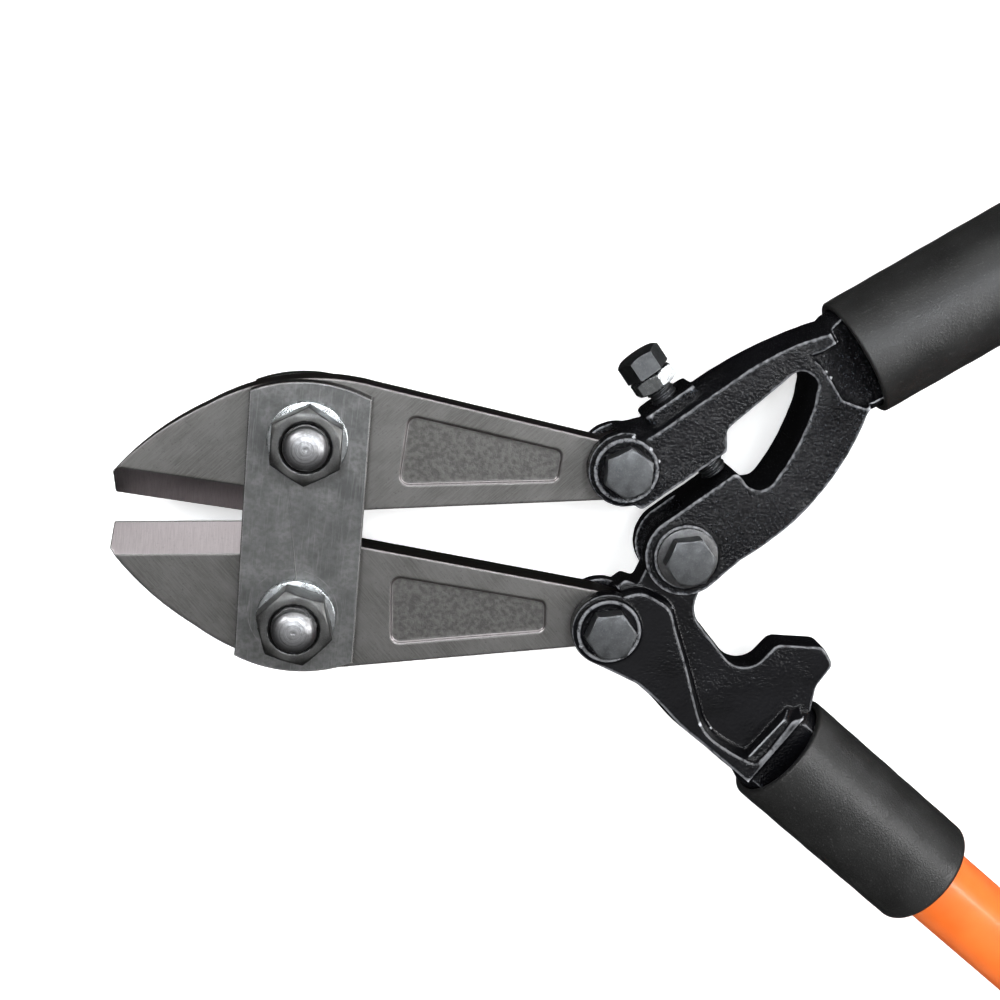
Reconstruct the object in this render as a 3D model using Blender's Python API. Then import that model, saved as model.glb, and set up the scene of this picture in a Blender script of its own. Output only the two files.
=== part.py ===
"""Bolt cutters of the 750 mm class, lying flat with the jaws part open.

The frame's origin is the middle of the upper plate bolt's head, on the flat face that the tool lies
on. +X runs from the jaws to the handles, +Y crosses the tool and +Z is its thickness. The outlines
below are drawn from another point, midway between the plate bolts on the tool's middle plane.
Two like jaws turn on the plate bolts. Each jaw's tail is held in a forked, forged handle, and the
two handles turn on each other at the centre bolt. All sizes are in millimetres until a mesh is made.
"""

import math

import bmesh
import bpy
from mathutils import Matrix, Vector
from mathutils.geometry import convex_hull_2d

MM = 0.001
GAP = 0.3  # between pieces that touch on the real tool

# The linkage, in the plane of the tool
PLATE_BOLT_Y = 28.0  # each plate bolt from the tool's centre line
JAW_REACH = 98.5  # plate bolt to handle bolt
PIN_LINE = 3.34  # degrees from the centre line to that reach, with the jaws shut
JAW_OPEN = 4.5  # degrees that each jaw stands open at rest
LINK = 34.0  # handle bolt to centre bolt
UPPER_ANGLE = 34.8  # degrees from the centre line to the upper tube at rest
LOWER_ANGLE = -36.8
UPPER_OFFSET = 25.7  # each tube's axis from the centre bolt
LOWER_OFFSET = 28.0
HANDLE_REACH = 608.0  # centre bolt to the end of the grip, along the tube
JAW_SHARE = 0.15  # turn of a jaw for each degree that its handle turns
CLOSING_TURN = 34.5  # degrees of handle against jaw, from rest to jaws shut
OPENING_TURN = 12.0  # degrees of handle against jaw, from rest to the open limit

# Layers through the thickness, from the middle plane
JAW_HALF = 6.5
LAYER_HALF = 6.9  # half the gap between the side plates, and between the cheeks of each fork
PLATE_THICK = 7.0
PLATE_FACE = LAYER_HALF + PLATE_THICK
FORGING_HALF = 13.0
BOSS_RISE = 1.2
REST_DEPTH = 23.0  # the bolt heads and bolt ends that the tool lies on, below the middle plane

# Jaws, drawn shut, from the centre line
EDGE_Y = 0.15  # half the gap between shut cutting edges
TIP_X = -57.0
EDGE_END_X = -12.0
BEVEL_RISE = 9.7
EDGE_LAND = 0.2
TAIL_RADIUS = 9.8
POCKET_DEPTH = 0.8

# Side plates
PLATE_HALF_WIDTH = 18.5
PLATE_CORNER_Y = 41.8
PLATE_CROWN_Y = 45.8

# Plate bolts, M14
PLATE_BOLT_R = 7.0
PLATE_HEX = 21.0
PLATE_NUT_HEIGHT = 10.5
PLATE_WASHER_R = 12.3
PLATE_WASHER_THICK = 2.5
PLATE_BOLT_TOP = 32.0

# Handle bolts and centre bolt, M10 with small heads
PIVOT_R = 5.0
PIVOT_HEX = 14.0
PIVOT_HEAD = 6.5
PIVOT_NUT_HEX = 16.0
PIVOT_NUT_HEIGHT = 8.0
NUT_TURN = 11.0  # degrees that each nut stands off its bolt's head
BOSS_R = 10.4
CHEEK_R = 11.8
CENTRE_CHEEK_R = 13.0
CENTRE_TONGUE_R = 11.5
TONGUE_ROOM_R = 15.6
CENTRE_WASHER_R = 9.6
CENTRE_WASHER_THICK = 1.5

# Adjusting screw: its head's middle, and its direction into the forging
SCREW_HEAD = (102.1, 58.2)
SCREW_ANGLE = -50.3
SCREW_R = 4.5
SCREW_HEX = 13.0
SCREW_HEAD_HALF = 3.5
SCREW_TIP = 42.7  # from the head's middle
LOCK_NUT_START = 3.9
LOCK_NUT_HEIGHT = 5.0
PAD_START = 12.9
PAD_HALF = 9.2  # the seat under the lock nut, across the arm
PAD_DEPTH_HALF = 10.0
PAD_END = 27.0

# Sockets, tubes, sleeves and grips, from the foot of the tube's axis beside the centre bolt
UPPER_MOUTH = 77.7
LOWER_MOUTH = 72.5
SOCKET_R = 17.0
SOCKET_PAST_MOUTH = 36.0
NECK_HALF = 11.5
NECK_PAST_MOUTH = 12.0
VALLEY_FLOOR = 10.2
TUBE_R = 13.6
TUBE_WALL = 2.0
SLEEVE_R = 19.7
SLEEVE_LENGTH = 70.5
GRIP_LENGTH = 150.0
GRIP_R = 18.4
GRIP_END_WALL = 4.0
PIN_R = 2.5
PIN_PAST_MOUTH = 23.0

CIRCLE_STEPS = 24
HOLE_STEPS = 20

WORLD = Matrix.Translation((0, -PLATE_BOLT_Y * MM, REST_DEPTH * MM))

COLOURS = {
    "jaw_steel": ((0.10, 0.098, 0.092), 0.42, 0.9),
    "plate_steel": ((0.13, 0.13, 0.128), 0.45, 0.9),
    "dark_steel": ((0.09, 0.09, 0.095), 0.45, 0.9),
    "zinc": ((0.62, 0.63, 0.64), 0.25, 1.0),
    "black_paint": ((0.012, 0.012, 0.014), 0.18, 0.0),
    "black_rubber": ((0.016, 0.016, 0.017), 0.75, 0.0),
    "orange_paint": ((0.85, 0.21, 0.03), 0.35, 0.0),
}


def polar(centre, radius, degrees):
    turn = math.radians(degrees)
    return (centre[0] + radius * math.cos(turn), centre[1] + radius * math.sin(turn))


def arc(centre, radius, start, end, steps):
    """Points on a circle from start to end, in degrees."""
    return [polar(centre, radius, start + (end - start) * i / steps) for i in range(steps + 1)]


def arc_through(first, middle, last, steps):
    """Points on the circle through three points, from the first to the last."""
    (ax, ay), (bx, by), (cx, cy) = first, middle, last
    twice = 2 * (ax * (by - cy) + bx * (cy - ay) + cx * (ay - by))
    a2, b2, c2 = ax * ax + ay * ay, bx * bx + by * by, cx * cx + cy * cy
    x = (a2 * (by - cy) + b2 * (cy - ay) + c2 * (ay - by)) / twice
    y = (a2 * (cx - bx) + b2 * (ax - cx) + c2 * (bx - ax)) / twice
    turns = [math.degrees(math.atan2(p[1] - y, p[0] - x)) for p in (first, middle, last)]
    clockwise = (turns[1] - turns[0]) % 360 > (turns[2] - turns[0]) % 360
    sweep = -((turns[0] - turns[2]) % 360) if clockwise else (turns[2] - turns[0]) % 360
    return arc((x, y), math.dist((x, y), first), turns[0], turns[0] + sweep, steps)


def outline(corners):
    """A closed outline. A corner is (x, y), or (x, y, radius) where it is rounded."""
    points = []
    for i, corner in enumerate(corners):
        here = Vector(corner[:2])
        if len(corner) == 2:
            points.append(tuple(here))
            continue
        back = (Vector(corners[i - 1][:2]) - here).normalized()
        ahead = (Vector(corners[(i + 1) % len(corners)][:2]) - here).normalized()
        half = back.angle(ahead) / 2
        start = here + back * corner[2] / math.tan(half)
        end = here + ahead * corner[2] / math.tan(half)
        centre = here + (back + ahead).normalized() * corner[2] / math.sin(half)
        middle = centre + (here - centre).normalized() * corner[2]
        steps = max(2, round(math.degrees(math.pi - 2 * half) / 15))
        points += arc_through(tuple(start), tuple(middle), tuple(end), steps)
    return points


def mirrored(points):
    """The same points on the other side of the centre line, still counter-clockwise."""
    return [(x, -y, *rest) for x, y, *rest in reversed(points)]


def inset(points, distance):
    """The outline moved into its own material."""
    moved = []
    for i, point in enumerate(points):
        before = (Vector(point) - Vector(points[i - 1])).normalized()
        after = (Vector(points[(i + 1) % len(points)]) - Vector(point)).normalized()
        normals = Vector((-before.y, before.x)) + Vector((-after.y, after.x))
        moved.append(tuple(Vector(point) + normals * distance / (1 + before.dot(after))))
    return moved


def new_object(name, mesh_builder, material=None):
    mesh = bpy.data.meshes.new(name)
    mesh_builder.to_mesh(mesh)
    mesh_builder.free()
    mesh.shade_smooth()
    mesh.set_sharp_from_angle(angle=math.radians(30))
    made = bpy.data.objects.new(name, mesh)
    bpy.context.scene.collection.objects.link(made)
    if material:
        mesh.materials.append(material)
    return made


def stacked(name, rings, material=None):
    """A closed solid through rings of the same number of points, each ring being a level outline."""
    built = bmesh.new()
    levels = [[built.verts.new((x * MM, y * MM, z * MM)) for x, y, z in ring] for ring in rings]
    for lower, upper in zip(levels, levels[1:]):
        for i in range(len(lower)):
            built.faces.new((lower[i - 1], lower[i], upper[i], upper[i - 1]))
    built.faces.new(reversed(levels[0]))
    built.faces.new(levels[-1])
    return new_object(name, built, material)


def slab(name, points, low, high, edge=0.0, steps=1, material=None):
    """An outline given a thickness, with its rims rounded or chamfered by edge."""
    if not edge:
        return stacked(name, [[(x, y, z) for x, y in points] for z in (low, high)], material)
    rings = []
    for end, way in ((low, 1), (high, -1)):
        half = []
        for i in range(steps + 1):
            turn = math.pi / 2 * i / steps
            ring = inset(points, edge * (1 - math.sin(turn)))
            half.append([(x, y, end + way * edge * (1 - math.cos(turn))) for x, y in ring])
        rings += half if way == 1 else half[::-1]
    return stacked(name, rings, material)


def turned(name, profile, steps=CIRCLE_STEPS, material=None):
    """A profile of (radius, height) turned round Z, from one end on the axis to the other."""
    built = bmesh.new()
    rings = []
    for radius, height in profile:
        count = 1 if radius == 0 else steps
        ring = [polar((0, 0), radius, 360 * i / steps) for i in range(count)]
        rings.append([built.verts.new((x * MM, y * MM, height * MM)) for x, y in ring])
    for lower, upper in zip(rings, rings[1:]):
        for i in range(steps):
            if len(lower) == 1:
                sides = (lower[0], upper[i], upper[i - 1])
            elif len(upper) == 1:
                sides = (lower[i - 1], lower[i], upper[0])
            else:
                sides = (lower[i - 1], lower[i], upper[i], upper[i - 1])
            built.faces.new(sides)
    bmesh.ops.recalc_face_normals(built, faces=built.faces)
    return new_object(name, built, material)


def pipe(name, profile, steps=CIRCLE_STEPS, material=None):
    """A closed loop of (radius, height) points, none on the axis, turned round Z."""
    built = bmesh.new()
    rings = []
    for radius, height in profile:
        ring = [polar((0, 0), radius, 360 * i / steps) for i in range(steps)]
        rings.append([built.verts.new((x * MM, y * MM, height * MM)) for x, y in ring])
    for j, upper in enumerate(rings):
        lower = rings[j - 1]
        for i in range(steps):
            built.faces.new((lower[i - 1], lower[i], upper[i], upper[i - 1]))
    bmesh.ops.recalc_face_normals(built, faces=built.faces)
    return new_object(name, built, material)


def boolean(target, tool, operation):
    """Adds a Boolean to the target, and leaves its tool out of the build.

    The forgings join a dozen shapes each, and only the MANIFOLD solver keeps them closed throughout.
    """
    step = target.modifiers.new(tool.name, "BOOLEAN")
    step.operation = operation
    step.solver = "MANIFOLD" if "forging" in target.name else "EXACT"
    step.object = tool
    tool.hide_render = True
    tool.display_type = "WIRE"


def cut(target, tool):
    boolean(target, tool, "DIFFERENCE")


def add(target, tool):
    boolean(target, tool, "UNION")


def lay(piece, place, pivot=None):
    """Puts a piece, drawn round the plates' middle or its own axis, in the world under a pivot."""
    world = WORLD @ place
    if pivot:
        piece.parent = pivot
        piece.matrix_local = pivot.matrix_world.inverted() @ world
    else:
        piece.matrix_world = world
    return piece


def at(point, turn=0.0, level=0.0):
    """A place in the tool's plane, turned about Z by degrees."""
    spot = Matrix.Translation((point[0] * MM, point[1] * MM, level * MM))
    return spot @ Matrix.Rotation(math.radians(turn), 4, "Z")


def lengthwise(point, turn):
    """A place whose Z axis lies in the tool's plane, at an angle in degrees to +X."""
    return at(point, turn) @ Matrix.Rotation(math.pi / 2, 4, "Y")


def recentred(piece, pivot_point):
    """Moves a piece's origin to a point of the tool's plane, without moving the piece."""
    shift = Vector((pivot_point[0] * MM, pivot_point[1] * MM, 0))
    piece.data.transform(Matrix.Translation(-shift))
    return Matrix.Translation(shift)


def hexagon(name, across_flats, low, high, chamfers, material, bore=0.0):
    """A hexagonal head or nut along Z. chamfers says which of its ends, low and high, are chamfered."""
    corner = across_flats / math.sqrt(3)
    points = [polar((0, 0), corner, 30 + 60 * i) for i in range(6)]
    made = slab(name, points, low, high, material=material)
    flat_r = across_flats / 2 * 0.95
    clear_r = corner + 0.2
    slope = (clear_r - flat_r) * math.tan(math.radians(30))
    plain = [(0, -1), (clear_r, -1)]
    cone = [(0, 0), (flat_r, 0), (clear_r, slope)]
    profile = [(r, low + z) for r, z in (cone if chamfers[0] else plain)]
    profile += [(r, high - z) for r, z in reversed(cone if chamfers[1] else plain)]
    helpers = [turned(name + "_limit", profile)]
    boolean(made, helpers[0], "INTERSECT")
    if bore:
        helpers.append(turned(name + "_hole", rod(bore, low - 1, high + 1), HOLE_STEPS))
        cut(made, helpers[1])
    for helper in helpers:
        helper.parent = made
    return made


def rod(radius, low, high):
    return [(0, low), (radius, low), (radius, high), (0, high)]


def round_cutter(name, radius, low, high, place):
    return lay(turned(name, rod(radius, low, high), HOLE_STEPS), place)


def make_materials():
    made = {}
    for name, (colour, roughness, metallic) in COLOURS.items():
        finish = bpy.data.materials.new(name)
        finish.use_nodes = True
        shader = finish.node_tree.nodes["Principled BSDF"]
        shader.inputs["Base Color"].default_value = (*colour, 1.0)
        shader.inputs["Roughness"].default_value = roughness
        shader.inputs["Metallic"].default_value = metallic
        made[name] = finish
    return made


def jaw_outline(tail):
    """The upper jaw, shut, with its cutting edge along the centre line."""
    crown = arc_through((18.0, 46.6), (7.0, 47.0), (-3.4, 45.7), 4)
    nose = arc_through((-3.4, 45.7), (-17.5, 41.5), (-32.0, 32.9), 5)[1:]
    nose += arc_through((-32.0, 32.9), (-46.4, 21.3), (-57.9, 7.7), 6)[1:]
    corners = [(TIP_X, EDGE_Y), (EDGE_END_X, EDGE_Y), (-4.0, 2.6, 6.0), (94.7, 22.2)]
    corners += arc(tail, TAIL_RADIUS, -70, 130, 10)
    corners += [(88.8, 41.0)] + crown + nose
    return outline(corners)


def bevel_cutter(name, side):
    """Grinds one side of the cutting edge: side is +1 for the front and -1 for the rear."""
    slope = JAW_HALF / BEVEL_RISE
    low, high = -3.0, BEVEL_RISE + 3.0
    heights = [EDGE_LAND + (y - EDGE_Y) * slope for y in (low, high)]
    triangle = [(low, heights[0]), (high, heights[1]), (low, heights[1])]
    rings = []
    for x in (TIP_X - 6, EDGE_END_X):
        rings.append([(x, y, side * z) for y, z in triangle])
    if side > 0:
        rings = rings[::-1]
    tool = stacked(name, rings)
    outward(tool)
    return tool


def outward(piece):
    """Turns all faces of a mesh outwards."""
    built = bmesh.new()
    built.from_mesh(piece.data)
    bmesh.ops.recalc_face_normals(built, faces=built.faces)
    built.to_mesh(piece.data)
    built.free()


def make_jaws(pivots, tail, materials):
    """Two like jaws: the lower one is the upper one turned over."""
    pocket = outline([(29.9, 17.4, 2.5), (78.4, 26.2, 2.0), (78.3, 35.3, 2.0), (29.7, 38.9, 2.5)])
    sides = {"upper_jaw": (1, 0.0), "lower_jaw": (-1, math.pi)}
    for name, (side, over) in sides.items():
        jaw = slab(name, jaw_outline(tail), -JAW_HALF, JAW_HALF, 0.5, 1, materials["jaw_steel"])
        tools = [bevel_cutter(name + "_front_grind", 1), bevel_cutter(name + "_rear_grind", -1)]
        for face in (1, -1):
            levels = sorted((face * (JAW_HALF - POCKET_DEPTH), face * (JAW_HALF + 1)))
            tools.append(slab(f"{name}_pocket_{'front' if face > 0 else 'rear'}", pocket, *levels))
        hole = turned(name + "_plate_hole", rod(PLATE_BOLT_R + GAP, -9, 9))
        hole.data.transform(Matrix.Translation((0, PLATE_BOLT_Y * MM, 0)))
        tail_hole = turned(name + "_tail_hole", rod(PIVOT_R + GAP, -9, 9))
        tail_hole.data.transform(Matrix.Translation((tail[0] * MM, tail[1] * MM, 0)))
        place = at((0, side * PLATE_BOLT_Y), -side * JAW_OPEN) @ Matrix.Rotation(over, 4, "X")
        for piece in [jaw, *tools, hole, tail_hole]:
            recentred(piece, (0, PLATE_BOLT_Y))
            lay(piece, place, pivots[name])
        for tool in [*tools, hole, tail_hole]:
            cut(jaw, tool)


def make_side_plates(materials):
    crown = arc_through(
        (PLATE_HALF_WIDTH, PLATE_CORNER_Y), (0, PLATE_CROWN_Y), (-PLATE_HALF_WIDTH, PLATE_CORNER_Y), 8
    )
    points = crown + [(-x, -y) for x, y in crown]
    for name, low in (("front_side_plate", LAYER_HALF), ("rear_side_plate", -PLATE_FACE)):
        plate = slab(name, points, low, low + PLATE_THICK, 0.6, 1, materials["plate_steel"])
        lay(plate, Matrix())
        for side in (1, -1):
            place = at((0, side * PLATE_BOLT_Y))
            hole = round_cutter(f"{name}_hole_{side}", PLATE_BOLT_R + GAP, low - 2, low + 9, place)
            cut(plate, hole)


def make_plate_fasteners(materials):
    """A bolt from behind, with a washer and a nut in front, on each end of the side plates."""
    face = PLATE_FACE + GAP
    washer_top = face + PLATE_WASHER_THICK
    nut_low = washer_top + GAP
    nut_high = nut_low + PLATE_NUT_HEIGHT
    for side, word, nut_turn in ((1, "upper", 0), (-1, "lower", 16)):
        place = at((0, side * PLATE_BOLT_Y), nut_turn)
        bolt = hexagon(
            f"{word}_plate_bolt", PLATE_HEX, -REST_DEPTH, -face, (True, False), materials["dark_steel"]
        )
        profile = [(0, -face - 3), (PLATE_BOLT_R, -face - 3), (PLATE_BOLT_R, nut_high + 0.6)]
        dome_r, dome_low = PLATE_BOLT_R - 0.6, nut_high + 1.6
        for turn in range(0, 90, 22):
            rise = (PLATE_BOLT_TOP - dome_low) * math.sin(math.radians(turn))
            profile.append((dome_r * math.cos(math.radians(turn)), dome_low + rise))
        profile.append((0, PLATE_BOLT_TOP))
        shank = turned(f"{word}_plate_bolt_shank", profile)
        shank.parent = bolt
        add(bolt, shank)
        lay(bolt, place)
        washer_in, washer_out = PLATE_BOLT_R + GAP, PLATE_WASHER_R
        corners = [(washer_in, face), (washer_out, face), (washer_out, washer_top - 0.4)]
        corners += [(washer_out - 0.4, washer_top), (washer_in, washer_top)]
        washer = pipe(f"{word}_plate_washer", corners, material=materials["zinc"])
        lay(washer, place)
        nut = hexagon(
            f"{word}_plate_nut", PLATE_HEX, nut_low, nut_high, (True, True),
            materials["dark_steel"], PLATE_BOLT_R + GAP,
        )
        lay(nut, place)


def make_pivot_bolt(word, centre, pivot, head_base, turn, materials):
    """An M10 bolt through a fork, head in front, and its nut behind."""
    nut_high = -FORGING_HALF - BOSS_RISE - GAP
    head_high = head_base + PIVOT_HEAD
    bolt = hexagon(
        f"{word}_bolt", PIVOT_HEX, head_base, head_high, (False, True), materials["dark_steel"]
    )
    profile = [(0, -REST_DEPTH), (PIVOT_R - 0.8, -REST_DEPTH), (PIVOT_R, -REST_DEPTH + 0.8)]
    profile += [(PIVOT_R, head_base + 2), (0, head_base + 2)]
    shank = turned(f"{word}_bolt_shank", profile)
    shank.parent = bolt
    add(bolt, shank)
    lay(bolt, at(centre, turn), pivot)
    nut = hexagon(
        f"{word}_nut", PIVOT_NUT_HEX, nut_high - PIVOT_NUT_HEIGHT, nut_high, (True, True),
        materials["dark_steel"], PIVOT_R + GAP,
    )
    lay(nut, at(centre, turn + NUT_TURN), pivot)


def jaw_slot(name, tail, side):
    """The room between a fork's cheeks that the jaw's tail sweeps, from shut to open.

    Its two sides run along the tail's own edges in those two places, past the fork's end.
    """
    radius = TAIL_RADIUS + 0.6
    rest = 180 + PIN_LINE - JAW_OPEN
    shut, wide = rest + CLOSING_TURN, rest - OPENING_TURN
    inner = polar(tail, TAIL_RADIUS + 1.3, shut + 90)
    outer = polar(tail, radius, wide - 90)
    points = arc(tail, radius, wide - 90, shut + 90 - 360, 12)
    past_end, tail_taper = 50, 7.1
    points += [inner, polar(inner, past_end, shut + tail_taper)]
    points += [polar(tail, past_end + 10, rest), polar(outer, past_end, wide)]
    points = points[::-1]
    if side < 0:
        points = mirrored(points)
    tool = slab(name, points, -LAYER_HALF, LAYER_HALF)
    outward(tool)
    return lay(tool, Matrix())


def neck_ring(radius, height):
    """A circle flattened to the neck's thickness, drawn across the tube's axis."""
    flat = math.degrees(math.acos(NECK_HALF / radius))
    points = arc((0, 0), radius, flat, 180 - flat, 10)
    points += arc((0, 0), radius, 180 + flat, 360 - flat, 10)
    return [(x, y, height) for x, y in points]


def socket(name, place, mouth):
    """A forging's flattened neck at the sleeve's mouth, the round socket past it, and the tube's bore."""
    start, end = mouth + NECK_PAST_MOUTH, mouth + SOCKET_PAST_MOUTH
    rings = [neck_ring(SOCKET_R - 2.5, mouth - 10), neck_ring(SOCKET_R, mouth - 3)]
    neck = stacked(name + "_neck", [*rings, neck_ring(SOCKET_R, start + 1)])
    profile = [(0, start), (SOCKET_R, start), (SOCKET_R, end - 0.8), (SOCKET_R - 0.8, end), (0, end)]
    outer = turned(name + "_socket", profile)
    bore = turned(name + "_bore", rod(TUBE_R + GAP, start + 2, end + 2))
    return [lay(piece, place) for piece in (neck, outer, bore)]


def boss(name, point):
    """The round raised face of a bolt's seat, on both sides of a forging."""
    top = FORGING_HALF + BOSS_RISE
    profile = [(0, -top), (BOSS_R - 0.5, -top), (BOSS_R, 0.5 - top)]
    return lay(turned(name, profile + [(r, -z) for r, z in reversed(profile)]), at(point))


def make_handle_tube(word, place, mouth, pivot, materials):
    """The tube, its sleeve over the socket, its grip, and the cross pin that holds it in the socket.

    place is the tube's own, with Z along it. The pin's hole is returned, to be cut from the socket too.
    """
    inner = TUBE_R - TUBE_WALL
    low, high = mouth + NECK_PAST_MOUTH + 2.5, HANDLE_REACH - GRIP_END_WALL - GAP
    corners = [(inner, low), (TUBE_R, low), (TUBE_R, high), (inner, high)]
    tube = pipe(f"{word}_handle_tube", corners, material=materials["orange_paint"])
    lay(tube, place, pivot)
    along = Matrix.Translation((0, 0, (mouth + PIN_PAST_MOUTH) * MM))
    pin_place = place @ along @ Matrix.Rotation(-math.pi / 2, 4, "Y")
    hole = round_cutter(f"{word}_tube_pin_hole", PIN_R + GAP, -20, 20, pin_place)
    cut(tube, hole)
    pin_half = SOCKET_R - 0.3
    profile = [(0, -pin_half), (PIN_R - 0.4, -pin_half), (PIN_R, -pin_half + 0.4)]
    profile += [(PIN_R, pin_half - 0.4), (PIN_R - 0.4, pin_half), (0, pin_half)]
    pin = turned(f"{word}_tube_pin", profile, 16, materials["dark_steel"])
    lay(pin, pin_place, pivot)
    end = mouth + SLEEVE_LENGTH
    step = mouth + SOCKET_PAST_MOUTH + 0.5
    snug, bored = TUBE_R + GAP, SOCKET_R + GAP
    sleeve_profile = [(bored, mouth + 0.6), (bored + 0.6, mouth), (SLEEVE_R - 0.9, mouth)]
    sleeve_profile += [(SLEEVE_R - 0.2, mouth + 0.9), (SLEEVE_R, mouth + 2.2), (SLEEVE_R, end - 2.2)]
    sleeve_profile += [(SLEEVE_R - 0.5, end - 0.7), (SLEEVE_R - 1.8, end), (snug, end)]
    sleeve_profile += [(snug, step), (bored, step)]
    lay(pipe(f"{word}_sleeve", sleeve_profile, material=materials["black_rubber"]), place, pivot)
    start = HANDLE_REACH - GRIP_LENGTH
    inside = HANDLE_REACH - GRIP_END_WALL
    outside = [(GRIP_R - 2.0, 0), (GRIP_R - 0.4, 1.6), (GRIP_R - 0.2, 6), (GRIP_R - 1.8, 12)]
    outside += [(GRIP_R - 1.0, 60), (GRIP_R - 0.4, 120), (GRIP_R, 140), (GRIP_R - 1.2, 146)]
    outside += [(GRIP_R - 4.5, 149.2), (0, GRIP_LENGTH)]
    grip_profile = [(0, inside), (snug, inside), (snug, start)]
    grip_profile += [(r, start + z) for r, z in outside]
    lay(turned(f"{word}_grip", grip_profile, material=materials["black_rubber"]), place, pivot)
    return hole


def upper_outline(tail, centre, level):
    """The upper handle's forging: an arm over the handle bolt, an eye, and an arm to the centre bolt.

    level is "face" for its front and rear faces, or "middle" for the wider outline between them.
    """
    if level == "middle":
        back = [(107.0, 43.2), (100.8, 40.2), (95.5, 37.7)]
        spine = [(155.6, 76.0), (145.0, 71.0), (133.4, 64.3), (120.4, 55.0)]
    else:
        back = arc(tail, CHEEK_R, 62, 102, 2)
        spine = [(157.6, 73.6), (146.9, 69.1), (136.0, 62.4), (126.6, 54.9)]
    corners = back + arc(tail, CHEEK_R, 122, 290, 10)
    corners += [(104.8, 13.5, 1.8), (129.8, 34.2, 2.0), (128.8, 41.0, 3.0), (149.5, 62.0, 4.5)]
    corners += [(155.6, 58.6, 3.5)]
    corners += arc_through((155.2, 51.0), (151.8, 38.8), (146.6, 27.6), 5)
    corners += [(141.6, 19.0, 5.5), (133.7, 28.2, 2.0)]
    corners += arc(centre, CENTRE_CHEEK_R, 131, 315, 11)
    corners += arc_through((138.2, -0.2), (162.5, 25.4), (172.6, 49.4), 8)
    return outline(corners + [(173.6, 51.4)] + spine)


def make_upper_handle(tail, centre, pivot, materials):
    face = upper_outline(tail, centre, "face")
    middle = upper_outline(tail, centre, "middle")
    rim = inset(face, 1.0)
    levels = [(rim, -FORGING_HALF), (face, 1 - FORGING_HALF), (middle, -2.0)]
    levels += [(points, -z) for points, z in reversed(levels)]
    rings = [[(x, y, z) for x, y in points] for points, z in levels]
    forging = stacked("upper_handle_forging", rings, materials["black_paint"])
    axis_point = polar(centre, UPPER_OFFSET, UPPER_ANGLE + 90)
    tube_place = lengthwise(axis_point, UPPER_ANGLE)
    neck, outer, bore = socket("upper", tube_place, UPPER_MOUTH)
    screw_place = lengthwise(SCREW_HEAD, SCREW_ANGLE)
    corners = [(x * PAD_DEPTH_HALF, y * PAD_HALF, 3.0) for x, y in ((1, 1), (-1, 1), (-1, -1), (1, -1))]
    pad = lay(slab("screw_pad", outline(corners), PAD_START, PAD_END, 0.8), screw_place)
    lay(forging, recentred(forging, tail), pivot)
    for piece in [neck, outer, pad, boss("upper_tail_boss", tail), boss("centre_boss", centre)]:
        add(forging, piece)
    reach = FORGING_HALF + BOSS_RISE + 1
    cutters = [jaw_slot("upper_jaw_room", tail, 1), tongue_room(centre), neck_valley(), bore]
    cutters.append(round_cutter("upper_tail_hole", PIVOT_R + GAP, -reach, reach, at(tail)))
    cutters.append(round_cutter("centre_hole", PIVOT_R + GAP, -reach, reach, at(centre)))
    cutters.append(round_cutter("screw_hole", SCREW_R + GAP, PAD_START - 1, SCREW_TIP - 3, screw_place))
    pin_hole = make_handle_tube("upper", tube_place, UPPER_MOUTH, pivot, materials)
    for tool in [*cutters, pin_hole]:
        cut(forging, tool)


def tongue_room(centre):
    """The room between the upper fork's cheeks for the lower forging's tongue and web."""
    points = arc(centre, TONGUE_ROOM_R, 3, 180, 10)
    points += [polar(centre, 30, 205), polar(centre, 34, 270), polar(centre, 30, 3)]
    return lay(slab("tongue_room", points, -LAYER_HALF, LAYER_HALF), Matrix())


def neck_valley():
    """The sunk place on the front face where the two arms meet at the neck."""
    points = [(152.3, 65.8), (155.8, 63.6), (159.9, 59.0), (164.2, 53.4), (171.5, 51.6), (182.0, 58.0)]
    points += [(166.0, 82.0), (158.5, 74.6), (161.0, 71.0), (156.5, 67.7)]
    return lay(slab("neck_valley", points, VALLEY_FLOOR, FORGING_HALF + 3), Matrix())


def block_outline(tail):
    """The thick part of the lower handle's forging, from the handle bolt to the socket."""
    corners = [(118.6, -16.6, 2.5), (107.6, -12.6, 2.5)]
    corners += arc(tail, CHEEK_R, 74, 250, 10)
    corners += [(109.0, -44.2), (116.5, -50.4), (124.3, -57.8), (134.6, -65.2)]
    corners += [(144.6, -72.6), (150.0, -74.6), (166.6, -51.6), (162.8, -50.0, 1.5)]
    corners += [(151.6, -67.4, 2.5), (133.2, -57.2, 7.0)]
    return outline(corners)


def web_outline(centre):
    """The thin part: the centre bolt's tongue, a waist, and the hook that limits how far it shuts."""
    corners = arc(centre, CENTRE_TONGUE_R, -40, 205, 12)
    corners += [(107.4, -11.6, 1.2), (103.2, -10.6, 1.6), (98.0, -15.0), (112.0, -40.0)]
    corners += [(148.0, -70.0), (169.4, -52.2), (170.2, -42.4, 5.0), (174.9, -34.6, 2.5)]
    corners += [(171.0, -28.6, 4.0), (155.2, -28.8, 4.0), (145.4, -41.4, 8.0), (125.7, -20.2, 9.0)]
    return outline(corners)


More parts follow.
